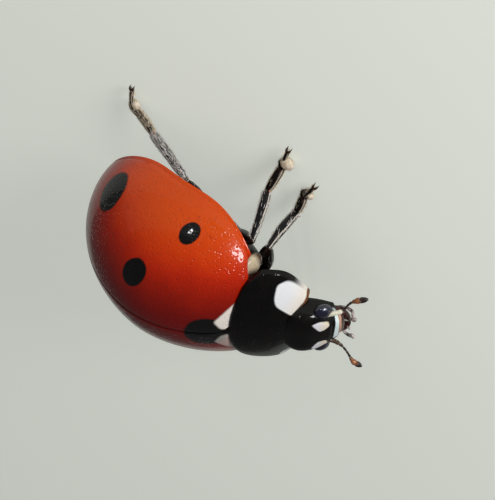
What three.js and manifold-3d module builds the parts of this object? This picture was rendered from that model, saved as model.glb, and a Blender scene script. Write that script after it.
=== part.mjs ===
// A seven-spot ladybird at life size, standing on six feet with its head bent down.
// Units are millimetres. The floor is z = 0, +X is the way the animal faces and +Y is its left side.
// The body is shaped in a body frame whose z = 0 is the rim of the wing cases, then pitched nose-up
// and raised. The legs are shaped in the floor frame, so that the feet have flats on the floor.

import * as THREE from 'three';
import Module from 'manifold-3d';
import { mergeVertices } from 'three/addons/utils/BufferGeometryUtils.js';

const wasm = await Module();
wasm.setup();

// ---------- Driving dimensions ----------

const GAP = 0.03; // clearance between neighbouring solids
const SHELL = 0.5; // thickness of the wing cases

// Wing-case dome, seen from above and from the side
const REAR_LENGTH = 3.09; // from the widest place back to the tip
const BASE_X = 2.24; // where the base meets the midline
const FRONT_REACH = 2.78; // where the front curve would close
const HALF_WIDTH = 2.53;
const CROWN = 2.59; // height of the ridge over the rim plane
const REAR_ROUNDNESS = 1.93;
const PLAN_ROUNDNESS = 2.15;
const PROFILE_ROUNDNESS = 1.85;
const SECTION_ROUNDNESS = 1.87;
const SHOULDER_LIFT = 0.46; // the rim rises to the shoulders
const FLANK_LIFT = 0.17; // and a little over the middle legs
const TIP_LIFT = 0.13;
const SHOULDER_SWEEP = 0.12; // the base runs forward to the shoulders
const SHOULDER_ROUND = 0.36; // and back again round them

// Triangular scutellum between the wing cases
const SCUTELLUM_WIDTH = 0.42;
const SCUTELLUM_LENGTH = 0.4;

// Underside
const BELLY_DEPTH = 0.58; // under the rim plane
const THORAX_FRONT_X = 2.0;
const THORAX_REAR_X = 0.1;
const ABDOMEN_TIP_X = -3.07;

// Pronotum, in its own frame: f forward, u up, from the middle of its base
const NECK = new THREE.Vector3(2.25, 0, 1.47);
const NECK_PITCH = THREE.MathUtils.degToRad(30);
const PRONOTUM_LENGTH = 1.42;
const PRONOTUM_BASE_HALF = 1.67;
const PRONOTUM_FRONT_HALF = 0.94;
const PRONOTUM_THICK = 0.5;
const PRONOTUM_EDGE = 0.16;
const PRONOTUM_CORNER = 0.16; // how full the front corners are
const PRONOTUM_SKEW = 0.12; // the head end is held a touch to the right

// Head, in its own frame: f forward along the face, u out of the face
const HEAD_CENTRE = new THREE.Vector3(3.3, -0.11, -0.05); // held a touch to the right
const HEAD_PITCH = THREE.MathUtils.degToRad(58);
const HEAD_HALF_WIDTH = 0.78;
const HEAD_HALF_DEPTH = 0.56;
const HEAD_LENGTH_BEHIND_EYES = 0.72;
const FACE_LENGTH = 0.62;
const FACE_END = { halfWidth: 0.48, halfDepth: 0.4 };
const EYE_F = 0.1; // widest place of the head, where the eyes sit
const EYE = { f: 0.36, y: 0.7, u: 0.32, radii: [0.24, 0.21, 0.19] };
const LIP_CENTRE = [0.82, 0.08, 0.3];

// Antenna axes in the body frame, with their radius
const ANTENNA = {
  left: [
    [3.96, 0.52, -0.27, 0.22],
    [4.14, 0.7, -0.46, 0.23],
    [4.27, 0.95, -0.6, 0.24],
    [4.5, 1.18, -0.73, 0.26],
  ],
  right: [
    [3.96, -0.52, -0.24, 0.22],
    [4.17, -0.64, -0.38, 0.23],
    [4.39, -0.92, -0.48, 0.24],
    [4.66, -1.22, -0.57, 0.26],
  ],
};

// Legs: joints in the body frame for the left side, coxa to foot
const LEG_RADIUS = 0.25;
const BODY_PITCH = THREE.MathUtils.degToRad(7.5);
const BODY_HEIGHT = 1.44; // body frame origin over the floor
const FOOT_CENTRE = 0.22; // height of the tarsus axis where it stands
const LEGS = {
  front: {
    coxa: [1.85, 0.5, -0.25],
    knee: [2.15, 1.78, -0.08],
    ankle: [1.89, 1.62, -1.34],
    foot: [2.48, 2.86],
  },
  middle: {
    coxa: [0.9, 0.95, -0.4],
    knee: [1.75, 1.84, 0.06],
    ankle: [1.26, 2.26, -1.1],
    foot: [1.72, 3.66],
  },
  hind: {
    coxa: [-0.3, 0.95, -0.5],
    knee: [-0.62, 1.9, -0.27],
    ankle: [-2.03, 2.08, -0.6],
    foot: [-2.95, 2.86],
  },
};
const RIGHT_SWING = 0.12; // the right legs stand a little further back

// ---------- Building blocks ----------

const mix = THREE.MathUtils.lerp;

// Quarter of a superellipse: 1 at 0, falling to 0 at 1.
function bow(t, power) {
  return Math.max(0, 1 - Math.abs(t) ** power) ** (1 / power);
}

function spread(count, place) {
  return Array.from({ length: count + 1 }, (_, index) => place(index / count));
}

function pointsOf(geometry) {
  const { position } = geometry.attributes;
  const pointAt = (_, i) => new THREE.Vector3().fromBufferAttribute(position, i);
  return Array.from({ length: position.count }, pointAt);
}

function inThrees(list) {
  return Array.from({ length: list.length / 3 }, (_, i) => list.slice(3 * i, 3 * i + 3));
}

// A closed solid from points and triangles. Doubles are merged and flat triangles dropped.
function solidFrom(points, triangles) {
  const raw = new THREE.BufferGeometry();
  raw.setAttribute('position', new THREE.Float32BufferAttribute(points.flatMap((p) => p.toArray()), 3));
  raw.setIndex(triangles.flat());
  const merged = mergeVertices(raw, 1e-4);
  const position = merged.attributes.position;
  const index = merged.index.array;
  const corners = [];
  let volume = 0;
  for (let i = 0; i < index.length; i += 3) {
    const [a, b, c] = [index[i], index[i + 1], index[i + 2]];
    if (a === b || b === c || c === a) continue;
    corners.push(a, b, c);
    const [pa, pb, pc] = [a, b, c].map((k) => new THREE.Vector3().fromBufferAttribute(position, k));
    volume += pa.dot(pb.cross(pc));
  }
  if (volume < 0) corners.reverse();
  const mesh = new wasm.Mesh({
    numProp: 3,
    vertProperties: Float32Array.from(position.array),
    triVerts: Uint32Array.from(corners),
  });
  return new wasm.Manifold(mesh);
}

// A solid through rings of points, closed at both ends.
function loft(rings) {
  const sides = rings[0].length;
  const points = rings.flat();
  const triangles = [];
  for (let i = 0; i + 1 < rings.length; i += 1) {
    for (let j = 0; j < sides; j += 1) {
      const next = (j + 1) % sides;
      const [a, b, c, d] = [i * sides + j, i * sides + next, (i + 1) * sides + next, (i + 1) * sides + j];
      triangles.push([a, b, c], [a, c, d]);
    }
  }
  for (const [row, turned] of [[0, true], [rings.length - 1, false]]) {
    const middle = new THREE.Vector3();
    rings[row].forEach((point) => middle.add(point));
    const centre = points.push(middle.divideScalar(sides)) - 1;
    for (let j = 0; j < sides; j += 1) {
      const [a, b] = [row * sides + j, row * sides + ((j + 1) % sides)];
      triangles.push(turned ? [centre, b, a] : [centre, a, b]);
    }
  }
  return solidFrom(points, triangles);
}

// A plate between an outer and an inner grid of points, with walls round its four sides.
function plate(outer, inner) {
  const columns = outer[0].length;
  const points = [...outer.flat(), ...inner.flat()];
  const half = outer.length * columns;
  const at = (i, j, side) => side * half + i * columns + j;
  const triangles = [];
  const quad = (a, b, c, d) => triangles.push([a, b, c], [a, c, d]);
  for (let i = 0; i + 1 < outer.length; i += 1) {
    for (let j = 0; j + 1 < columns; j += 1) {
      quad(at(i, j, 0), at(i, j + 1, 0), at(i + 1, j + 1, 0), at(i + 1, j, 0));
      quad(at(i, j, 1), at(i + 1, j, 1), at(i + 1, j + 1, 1), at(i, j + 1, 1));
    }
  }
  const last = outer.length - 1;
  for (let j = 0; j + 1 < columns; j += 1) {
    quad(at(0, j, 0), at(0, j, 1), at(0, j + 1, 1), at(0, j + 1, 0));
    quad(at(last, j, 0), at(last, j + 1, 0), at(last, j + 1, 1), at(last, j, 1));
  }
  for (let i = 0; i < last; i += 1) {
    quad(at(i, 0, 0), at(i + 1, 0, 0), at(i + 1, 0, 1), at(i, 0, 1));
    quad(at(i, columns - 1, 0), at(i, columns - 1, 1), at(i + 1, columns - 1, 1), at(i + 1, columns - 1, 0));
  }
  return solidFrom(points, triangles);
}

// A solid from a path of [point, radius] stops, with domed ends.
function limb(stops, grow = 0, sides = 8) {
  const first = stops[0];
  const final = stops[stops.length - 1];
  const lead = first[0].clone().sub(stops[1][0]).normalize();
  const trail = final[0].clone().sub(stops[stops.length - 2][0]).normalize();
  const rows = [
    [first[0].clone().addScaledVector(lead, (first[1] + grow) * 0.6), (first[1] + grow) * 0.55],
    ...stops.map(([point, radius]) => [point, radius + grow]),
    [final[0].clone().addScaledVector(trail, (final[1] + grow) * 0.6), (final[1] + grow) * 0.55],
  ];
  let normal = new THREE.Vector3(0.31, 0.17, 0.93);
  const rings = rows.map(([point, radius], i) => {
    const ahead = rows[Math.min(i + 1, rows.length - 1)][0];
    const tangent = ahead.clone().sub(rows[Math.max(i - 1, 0)][0]).normalize();
    normal = normal.clone().addScaledVector(tangent, -normal.dot(tangent)).normalize();
    const across = tangent.clone().cross(normal);
    return spread(sides, (t) => t * 2 * Math.PI).slice(0, sides).map((angle) => point.clone()
      .addScaledVector(normal, radius * Math.cos(angle))
      .addScaledVector(across, radius * Math.sin(angle)));
  });
  return loft(rings);
}

// An egg shape with radii along x, y and z.
function egg(radii, grow = 0, rows = 8, sides = 14) {
  const shape = new THREE.SphereGeometry(1, sides, rows);
  shape.deleteAttribute('normal');
  shape.deleteAttribute('uv');
  shape.scale(...radii.map((radius) => radius + grow));
  return solidFrom(pointsOf(shape), inThrees(Array.from(shape.index.array)));
}

// Moves a solid from a frame that is pitched nose-down at a place of the body frame.
function pitched(solid, place, pitch) {
  return solid.rotate([0, THREE.MathUtils.radToDeg(pitch), 0]).translate(place.toArray());
}

function fromPitched(place, pitch, f, y, u) {
  return new THREE.Vector3(f, y, u).applyAxisAngle(new THREE.Vector3(0, 1, 0), pitch).add(place);
}

// ---------- Wing-case dome ----------

function halfWidth(x) {
  return HALF_WIDTH * (x > 0 ? bow(x / FRONT_REACH, PLAN_ROUNDNESS) : bow(x / REAR_LENGTH, REAR_ROUNDNESS));
}

function crownHeight(x) {
  return CROWN * (x > 0 ? bow(x / FRONT_REACH, PROFILE_ROUNDNESS) : bow(x / REAR_LENGTH, REAR_ROUNDNESS));
}

function rimHeight(x) {
  const flank = FLANK_LIFT * Math.exp(-(((x + 0.2) / 0.9) ** 2));
  const tip = TIP_LIFT * THREE.MathUtils.clamp(-x / REAR_LENGTH, 0, 1) ** 2;
  return flank + tip + SHOULDER_LIFT * THREE.MathUtils.clamp(x / BASE_X, 0, 1) ** 2;
}

// Point of the dome at a length x and an angle from the ridge (0) to the left rim (a quarter turn).
function domePoint(x, angle) {
  const side = Math.sign(Math.sin(angle)) * Math.abs(Math.sin(angle)) ** (2 / SECTION_ROUNDNESS);
  const up = Math.abs(Math.cos(angle)) ** (2 / SECTION_ROUNDNESS);
  return new THREE.Vector3(x, halfWidth(x) * side, mix(rimHeight(x), crownHeight(x), up));
}

// The same point moved straight in from the surface.
function domeInset(x, angle, depth) {
  const step = 0.004;
  const rear = Math.max(x, -REAR_LENGTH + 2 * step);
  const turn = THREE.MathUtils.clamp(angle, step - Math.PI / 2, Math.PI / 2 - step);
  const along = domePoint(rear + step, turn).sub(domePoint(rear - step, turn));
  const round = domePoint(rear, turn + step).sub(domePoint(rear, turn - step));
  return domePoint(x, angle).addScaledVector(along.cross(round).normalize(), -depth);
}

// Where the base of the wing cases lies at an angle from the ridge.
function baseX(angle) {
  const side = Math.abs(Math.sin(angle));
  return BASE_X + SHOULDER_SWEEP * side ** 2 - SHOULDER_ROUND * Math.max(0, (side - 0.88) / 0.12) ** 2;
}

function elytron() {
  const rows = spread(15, (t) => 1 - (1 - t) ** 1.7);
  const columns = spread(10, (t) => (t * Math.PI) / 2);
  const grid = (depth) => rows.map((t) => columns.map((angle) => {
    const point = domeInset(mix(baseX(angle), -REAR_LENGTH, t), angle, depth);
    point.y = Math.max(point.y, GAP / 2);
    return point;
  }));
  return plate(grid(0), grid(SHELL)).subtract(scutellum(GAP));
}

// The space of both wing cases with clearance, for the pieces under them.
function wingCaseRoom() {
  const rows = spread(20, (t) => mix(BASE_X + SHOULDER_SWEEP + GAP, 0.3 - REAR_LENGTH, t));
  const columns = spread(20, (t) => mix(-Math.PI / 2, Math.PI / 2, t));
  const grid = (depth) => rows.map((x) => columns.map((angle) => domeInset(x, angle, depth)));
  return plate(grid(-2 * GAP), grid(SHELL + GAP));
}

function scutellum(grow = 0) {
  const half = SCUTELLUM_WIDTH / 2 + grow;
  const outline = new THREE.Shape();
  outline.moveTo(0.25, half);
  outline.lineTo(0, half);
  outline.lineTo(-SCUTELLUM_LENGTH - 2 * grow, 0);
  outline.lineTo(0, -half);
  outline.lineTo(0.25, -half);
  const extruded = new THREE.ExtrudeGeometry(outline, { depth: 0.3 + 2 * grow, bevelEnabled: false });
  const points = pointsOf(extruded);
  const triangles = inThrees(points.map((_, i) => i));
  const tilt = Math.atan2(crownHeight(BASE_X - 0.4) - crownHeight(BASE_X), 0.4);
  const place = new THREE.Vector3(BASE_X - 0.02, 0, crownHeight(BASE_X) + 0.02);
  return pitched(solidFrom(points, triangles).translate([0, 0, -0.28 - grow]), place, tilt);
}

// ---------- Underside of the body ----------

function bellyDepth(x) {
  return BELLY_DEPTH * (x > 0 ? 1 : 1 - 0.5 * (x / REAR_LENGTH) ** 2);
}

function bodyRing(x) {
  const inset = SHELL + GAP;
  const back = spread(14, (t) => domeInset(x, mix(-Math.PI / 2, Math.PI / 2, t), inset));
  const edge = back[back.length - 1];
  const belly = spread(10, (t) => {
    const turn = t * Math.PI;
    const drop = edge.z + bellyDepth(x) * bow((x + 0.3) / 2.9, 3);
    return new THREE.Vector3(edge.x, edge.y * Math.cos(turn), edge.z - drop * Math.sin(turn) ** 0.95);
  });
  return [...back, ...belly.slice(1, -1)];
}

function trunk(from, to, rows) {
  return loft(spread(rows, (t) => bodyRing(mix(from, to, t))));
}

// The part of the thorax under the pronotum, bent down with it.
function prothorax(grow = 0) {
  const middle = fromPitched(NECK, NECK_PITCH, 0.72, -0.05, -1.04);
  return pitched(egg([0.78, 0.93, 0.77], grow, 10, 16), middle, NECK_PITCH);
}

// White plate at each shoulder, between the pronotum and the wing case.
function mesepimeron(side) {
  return egg([0.3, 0.34, 0.3]).translate([2.0, side * 1.36, 0.36]);
}

// ---------- Pronotum ----------

function pronotumPoint(t, v, depth) {
  const corner = Math.max(0, (Math.abs(v) - 0.8) / 0.2) ** 2;
  const base = 0.42 * Math.abs(v) ** 2.2 + 0.16 * corner;
  const front = PRONOTUM_LENGTH + 0.46 * v ** 2 - 0.13 * corner;
  const f = mix(base, front, t);
  const taper = Math.max(0, t) ** 1.4;
  const along = THREE.MathUtils.clamp(t, 0, 1);
  const half = mix(PRONOTUM_BASE_HALF, PRONOTUM_FRONT_HALF, taper)
    + 0.17 * Math.sin(Math.PI * Math.min(1, taper) ** 0.5)
    + PRONOTUM_CORNER * Math.sin(Math.PI * along ** 1.3) ** 2;
  const sideDrop = mix(0.54, 0.46, t) * Math.abs(v) ** 2.3;
  const thick = mix(PRONOTUM_THICK, PRONOTUM_EDGE, Math.abs(v) ** 3);
  const across = half * v - PRONOTUM_SKEW * Math.min(1, taper) ** 3;
  return fromPitched(NECK, NECK_PITCH, f, across, -0.149 * f ** 2 - sideDrop - depth * thick);
}

function pronotum(grow = 0) {
  const rows = spread(8, (t) => mix(-grow / 1.4, 1 + grow / 1.4, t));
  const columns = spread(16, (t) => mix(-1 - grow / 1.5, 1 + grow / 1.5, t));
  const lift = grow * 2;
  const grid = (depth) => rows.map((t) => columns.map((v) => pronotumPoint(t, v, depth)));
  return plate(grid(-lift), grid(1 + lift));
}

// ---------- Head ----------

function headCapsule(grow = 0) {
  const rear = EYE_F - HEAD_LENGTH_BEHIND_EYES;
  const skull = spread(6, (t) => -Math.cos((Math.PI / 2) * mix(0.08, 1, t))).map((s) => [
    EYE_F + (EYE_F - rear + grow) * s, HEAD_HALF_WIDTH * bow(s, 2.6), HEAD_HALF_DEPTH * bow(s, 2.2),
  ]);
  const face = spread(4, (t) => [
    EYE_F + FACE_LENGTH * t,
    mix(HEAD_HALF_WIDTH, FACE_END.halfWidth, t ** 1.8),
    mix(HEAD_HALF_DEPTH, FACE_END.halfDepth, t ** 1.6),
  ]);
  const brow = [EYE_F + FACE_LENGTH + 0.04 + grow, FACE_END.halfWidth * 0.85, FACE_END.halfDepth * 0.85];
  const rings = [...skull, ...face.slice(1), brow].map(([f, width, depth]) => (
    spread(18, (t) => t * 2 * Math.PI).slice(0, 18).map((angle) => new THREE.Vector3(
      f,
      (width + grow) * Math.sign(Math.cos(angle)) * Math.abs(Math.cos(angle)) ** 0.8,
      (depth + grow) * Math.sign(Math.sin(angle)) * Math.abs(Math.sin(angle)) ** 0.85,
    ))
  ));
  return pitched(loft(rings), HEAD_CENTRE, HEAD_PITCH);
}

function headPlace(f, y, u) {
  return fromPitched(HEAD_CENTRE, HEAD_PITCH, f, y, u);
}

function eye(side, grow = 0) {
  return pitched(egg(EYE.radii, grow), headPlace(EYE.f, side * EYE.y, EYE.u), HEAD_PITCH);
}

function labrum(grow = 0) {
  return pitched(egg([0.17, 0.38, 0.15], grow, 6, 12), headPlace(...LIP_CENTRE), HEAD_PITCH);
}

function mouth(grow = 0) {
  return pitched(egg([0.25, 0.4, 0.28], grow, 8, 14), headPlace(0.88, 0.04, -0.06), HEAD_PITCH);
}

function palp(side) {
  const stops = [
    [0.98, 0.36, -0.2, 0.2],
    [1.12, 0.38, 0.06, 0.2],
    [1.12, 0.38, 0.3, 0.22],
    [1.06, 0.38, 0.46, 0.22],
  ];
  return limb(stops.map(([f, y, u, radius]) => [headPlace(f, side * y, u), radius]));
}

function antenna(sideName) {
  return limb(ANTENNA[sideName].map(([x, y, z, radius]) => [new THREE.Vector3(x, y, z), radius]));
}

// ---------- Legs ----------

const bodyMatrix = new THREE.Matrix4().makeRotationY(-BODY_PITCH).setPosition(0, 0, BODY_HEIGHT);

function toFloor(point) {
  return point.clone().applyMatrix4(bodyMatrix);
}

function inFloorFrame(solid) {
  return solid.transform(bodyMatrix.toArray());
}

// Joints of one leg in the floor frame. The foot point is where the tarsus axis ends.
function legJoints(leg, side) {
  const swing = side < 0 ? RIGHT_SWING : 0;
  const place = ([x, y, z], share) => toFloor(new THREE.Vector3(x - share * swing, side * y, z));
  const foot = place([...leg.foot, 0], 1);
  foot.z = FOOT_CENTRE;
  return { coxa: place(leg.coxa, 0), knee: place(leg.knee, 0.3), ankle: place(leg.ankle, 0.7), foot };
}

function femur({ coxa, knee }, grow = 0) {
  const profile = [[0, 0.26], [0.35, LEG_RADIUS + 0.03], [0.7, LEG_RADIUS + 0.02], [0.93, 0.22]];
  return limb(profile.map(([t, radius]) => [coxa.clone().lerp(knee, t), radius]), grow);
}

function tibia({ knee, ankle }, grow = 0) {
  const profile = [[0.04, 0.2], [0.3, LEG_RADIUS - 0.02], [0.75, LEG_RADIUS], [0.92, LEG_RADIUS]];
  return limb(profile.map(([t, radius]) => [knee.clone().lerp(ankle, t), radius]), grow);
}

function tarsus({ ankle, foot }) {
  const level = ankle.clone().lerp(foot, 0.45);
  level.z = FOOT_CENTRE + 0.3 * (level.z - FOOT_CENTRE);
  return limb([[ankle, 0.22], [level, LEG_RADIUS - 0.01], [foot, LEG_RADIUS]])
    .trimByPlane([0, 0, 1], 0);
}

function cut(solid, ...tools) {
  return tools.reduce((rest, tool) => rest.subtract(tool), solid);
}

// A solid grown a little about its own middle, as room for a neighbour.
function roomAround(solid) {
  const { min, max } = solid.boundingBox();
  const middle = min.map((low, i) => (low + max[i]) / 2);
  const grown = min.map((low, i) => (max[i] - low + 2 * GAP) / (max[i] - low));
  return solid.translate(middle.map((value) => -value)).scale(grown).translate(middle);
}

// ---------- Materials ----------

function finish(color, roughness) {
  return () => new THREE.MeshStandardMaterial({ color, roughness, metalness: 0 });
}

const redCase = finish(0xc23c0a, 0.2);
const blackCuticle = finish(0x0d0b0b, 0.25);
const underside = finish(0x141010, 0.45);
const eyeBlack = finish(0x08080c, 0.12);
const paleChitin = finish(0xf0e6d2, 0.4);
const mouthBrown = finish(0x4a2012, 0.35);
const legBlack = finish(0x17120f, 0.4);
const antennaBrown = finish(0x5c3a22, 0.45);

// ---------- Assembly ----------

function meshFrom(name, solid, material) {
  const { vertProperties, triVerts } = solid.getMesh();
  const geometry = new THREE.BufferGeometry();
  geometry.setAttribute('position', new THREE.BufferAttribute(Float32Array.from(vertProperties), 3));
  geometry.setIndex(new THREE.BufferAttribute(Uint32Array.from(triVerts), 1));
  geometry.computeVertexNormals();
  const mesh = new THREE.Mesh(geometry, material());
  mesh.name = name;
  return mesh;
}

const SIDES = { left: 1, right: -1 };

const body = new THREE.Group();
body.rotation.y = -BODY_PITCH;
body.position.z = BODY_HEIGHT;
const standing = new THREE.Group();
const model = new THREE.Group();
model.add(body, standing);

const shieldRoom = pronotum(GAP);
const chestRoom = prothorax(GAP);
const caseRoom = wingCaseRoom();
const leftCase = cut(elytron(), shieldRoom);

body.add(
  meshFrom('elytron_left', leftCase, redCase),
  meshFrom('elytron_right', leftCase.mirror([0, 1, 0]), redCase),
  meshFrom('scutellum', cut(scutellum(), shieldRoom), blackCuticle),
  meshFrom('pronotum', pronotum(), blackCuticle),
  meshFrom('prothorax', cut(prothorax(), shieldRoom, caseRoom), underside),
  meshFrom('thorax', cut(trunk(THORAX_FRONT_X, THORAX_REAR_X, 8), chestRoom, shieldRoom), underside),
  meshFrom('abdomen', trunk(THORAX_REAR_X - GAP, ABDOMEN_TIP_X, 10), underside),
);

const skullRoom = headCapsule(GAP);
const mouthRoom = [skullRoom, labrum(GAP), mouth(GAP)];
body.add(
  meshFrom('head', cut(headCapsule(), shieldRoom, chestRoom, eye(1, GAP), eye(-1, GAP)), blackCuticle),
  meshFrom('labrum', cut(labrum(), skullRoom), paleChitin),
  meshFrom('mandibles', cut(mouth(), skullRoom, labrum(GAP)), mouthBrown),
);

const frontTrunkRoom = roomAround(trunk(THORAX_FRONT_X, THORAX_REAR_X, 8));
for (const [sideName, side] of Object.entries(SIDES)) {
  const shoulder = cut(mesepimeron(side), shieldRoom, caseRoom, chestRoom, frontTrunkRoom);
  const feeler = cut(antenna(sideName), ...mouthRoom, eye(side, GAP));
  const jawFeeler = cut(palp(side), ...mouthRoom, roomAround(antenna(sideName)));
  body.add(
    meshFrom(`mesepimeron_${sideName}`, shoulder, paleChitin),
    meshFrom(`eye_${sideName}`, cut(eye(side), shieldRoom), eyeBlack),
    meshFrom(`antenna_${sideName}`, feeler, antennaBrown),
    meshFrom(`maxillary_palp_${sideName}`, jawFeeler, mouthBrown),
  );
}

const trunkRoom = roomAround(trunk(THORAX_FRONT_X, ABDOMEN_TIP_X, 16));
const bodyRoom = [trunkRoom, chestRoom, shieldRoom, caseRoom].map(inFloorFrame);
for (const [legName, leg] of Object.entries(LEGS)) {
  for (const [sideName, side] of Object.entries(SIDES)) {
    const joints = legJoints(leg, side);
    const pieces = {
      femur: cut(femur(joints), ...bodyRoom),
      tibia: cut(tibia(joints), femur(joints, GAP), ...bodyRoom),
      tarsus: cut(tarsus(joints), tibia(joints, GAP)),
    };
    for (const [piece, solid] of Object.entries(pieces)) {
      standing.add(meshFrom(`leg_${legName}_${sideName}_${piece}`, solid, legBlack));
    }
  }
}

// The origin is under the middle of the whole animal, on the floor.
model.updateMatrixWorld(true);
const centre = new THREE.Box3().setFromObject(model, true).getCenter(new THREE.Vector3());
body.position.x -= centre.x;
body.position.y -= centre.y;
standing.position.set(-centre.x, -centre.y, 0);

export default model;
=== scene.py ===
# %% [markdown]
# # A seven-spot ladybird, modelled at life size
#
# The animal is seven millimetres long from brow to tail, and eight with its legs. It stands on six
# feet with its head bent down, as it does when it walks along a stem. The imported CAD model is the
# fixed frame. Each piece made here stands for one of its solids, or adds what they leave out, such
# as hairs, claws and cushions. Limbs and feelers are finer than the solids, which had to be stout.
#
# The shapes are worked out in millimetres, in the animal's own body frame: x runs forward, y to
# its left and z up, and z = 0 is the rim of the wing cases. A last step pitches the body nose-up,
# sets it over its feet and changes millimetres to metres.

# %% Load the frame
import math

import bmesh
import bpy
import numpy as np
from mathutils import Matrix, Quaternion, Vector


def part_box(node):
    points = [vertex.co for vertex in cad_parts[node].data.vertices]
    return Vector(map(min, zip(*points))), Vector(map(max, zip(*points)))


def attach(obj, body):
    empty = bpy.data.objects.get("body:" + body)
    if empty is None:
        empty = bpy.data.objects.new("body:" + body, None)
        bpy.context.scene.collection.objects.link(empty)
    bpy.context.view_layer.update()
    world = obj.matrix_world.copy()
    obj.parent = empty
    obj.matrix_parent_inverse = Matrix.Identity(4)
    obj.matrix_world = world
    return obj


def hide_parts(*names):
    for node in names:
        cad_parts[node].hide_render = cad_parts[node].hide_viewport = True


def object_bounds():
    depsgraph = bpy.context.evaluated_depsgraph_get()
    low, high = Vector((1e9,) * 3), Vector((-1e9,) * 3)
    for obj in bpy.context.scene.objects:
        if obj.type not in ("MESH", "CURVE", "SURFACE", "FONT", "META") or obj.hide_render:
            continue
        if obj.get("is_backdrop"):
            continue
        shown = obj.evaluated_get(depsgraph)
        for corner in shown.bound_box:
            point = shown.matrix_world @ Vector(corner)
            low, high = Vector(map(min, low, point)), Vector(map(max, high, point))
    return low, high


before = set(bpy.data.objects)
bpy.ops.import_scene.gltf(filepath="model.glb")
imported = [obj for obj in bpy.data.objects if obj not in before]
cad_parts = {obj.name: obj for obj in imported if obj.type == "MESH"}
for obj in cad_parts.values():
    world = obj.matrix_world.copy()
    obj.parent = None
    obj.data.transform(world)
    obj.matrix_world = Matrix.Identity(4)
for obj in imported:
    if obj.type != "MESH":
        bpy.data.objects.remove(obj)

cad_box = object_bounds()
MM = 0.001
print("CAD box in mm:", [[round(v / MM, 3) for v in corner] for corner in cad_box])

# %% [markdown]
# ## Meshes from grids
#
# Nearly every part of a beetle is a curved plate or a jointed tube. Both are grids of points: a
# plate has an outer and an inner grid with walls between them, and a tube is a grid that wraps
# round. Working with whole grids in numpy keeps the formulas short. Each vertex also remembers
# which way its row runs, so that hairs can lie along the part later.

# %% Small helpers for numbers


def unit(vectors):
    length = np.linalg.norm(vectors, axis=-1, keepdims=True)
    return vectors / np.maximum(length, 1e-9)


def spread(low, high, count):
    return np.linspace(low, high, count)


def eased(count):
    """Values from 0 to 1, closer together near both ends."""
    return 0.5 - 0.5 * np.cos(np.pi * spread(0, 1, count))


def round_turn(count):
    """Angles all the way round, the last one a step before the first."""
    return spread(0, 2 * np.pi, count + 1)[:-1]


def bell(x, middle, width):
    """A smooth hump of height 1 at the middle."""
    return np.exp(-(((x - middle) / width) ** 2))


def as_points(*parts):
    """One grid of points from grids of x, y and z."""
    return np.stack(np.broadcast_arrays(*parts), -1)


print("half way up a bell:", round(float(bell(0.83, 0, 1)), 2))

# %% Grid helpers


def grid_faces(rows, columns, wrap):
    """Four-sided faces between neighbouring points of a grid."""
    across = columns if wrap else columns - 1
    row, column = np.meshgrid(np.arange(rows - 1), np.arange(across), indexing="ij")
    beside = (column + 1) % columns
    here, next_row = row * columns, (row + 1) * columns
    corners = (here + column, here + beside, next_row + beside, next_row + column)
    return [tuple(face) for face in np.stack(corners, -1).reshape(-1, 4).tolist()]


SKIN_ROWS = (0.02, 0.98)  # the map's rows stop short of 0 and 1, where the end points lie


def grid_part(points, wrap=False, ends=True):
    """A part from one grid. A wrapped grid is closed at both ends."""
    rows, columns = points.shape[:2]
    v, u = np.meshgrid(spread(*SKIN_ROWS, rows), spread(0, 1, columns), indexing="ij")
    lie = unit(np.gradient(points, axis=0))
    part = {
        "points": points.reshape(-1, 3),
        "faces": grid_faces(rows, columns, wrap),
        "uv": np.stack([u, v], -1).reshape(-1, 2),
        "lie": lie.reshape(-1, 3),
    }
    if wrap and ends:
        for row in (0, rows - 1):
            centre = len(part["points"])
            part["points"] = np.vstack([part["points"], points[row].mean(0)])
            part["uv"] = np.vstack([part["uv"], [0.5, row / (rows - 1)]])
            part["lie"] = np.vstack([part["lie"], lie[row].mean(0)])
            ring = [row * columns + k for k in range(columns)]
            part["faces"] += [(centre, a, b) for a, b in zip(ring, ring[1:] + ring[:1])]
    return part


def plate_part(outer, inner):
    """A closed plate between two grids of one shape, with walls on its four sides."""
    rows, columns = outer.shape[:2]
    half = rows * columns
    top, bottom = grid_part(outer), grid_part(inner)
    faces = top["faces"] + [tuple(half + k for k in face) for face in bottom["faces"]]
    edge = (
        list(range(columns))
        + [k * columns + columns - 1 for k in range(1, rows)]
        + [half - 1 - k for k in range(1, columns)]
        + [k * columns for k in range(rows - 2, 0, -1)]
    )
    faces += [(a, b, b + half, a + half) for a, b in zip(edge, edge[1:] + edge[:1])]
    return {
        "points": np.vstack([top["points"], bottom["points"]]),
        "faces": faces,
        "uv": np.vstack([top["uv"], bottom["uv"]]),
        "lie": np.vstack([top["lie"], bottom["lie"]]),
    }


print("grid helpers ready")

# %% [markdown]
# ## The wing-case dome
#
# The two wing cases of a ladybird form one dome with a seam along its crest. A few rules give the
# whole dome: a plan outline, a profile, a rim line that rises to the shoulders, and a rounded
# section between ridge and rim. All of them are parts of superellipses, which stay round and full
# where a plain ellipse would look pinched.

# %% Dome formulas
REAR_LENGTH = 3.09
BASE_X = 2.24
FRONT_REACH = 2.78
HALF_WIDTH = 2.53
CROWN = 2.59
SECTION_ROUNDNESS = 1.87
QUARTER = np.pi / 2


def bow(t, power):
    """A quarter of a superellipse: 1 at 0, falling to 0 at 1."""
    return np.maximum(0, 1 - np.abs(t) ** power) ** (1 / power)


def half_width(x):
    return HALF_WIDTH * np.where(x > 0, bow(x / FRONT_REACH, 2.15), bow(x / REAR_LENGTH, 1.93))


def crown_height(x):
    return CROWN * np.where(x > 0, bow(x / FRONT_REACH, 1.85), bow(x / REAR_LENGTH, 1.93))


def rim_height(x):
    flank = 0.17 * bell(x, -0.2, 0.9)
    tip = 0.13 * np.clip(-x / REAR_LENGTH, 0, 1) ** 2
    return flank + tip + 0.46 * np.clip(x / BASE_X, 0, 1) ** 2


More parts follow.
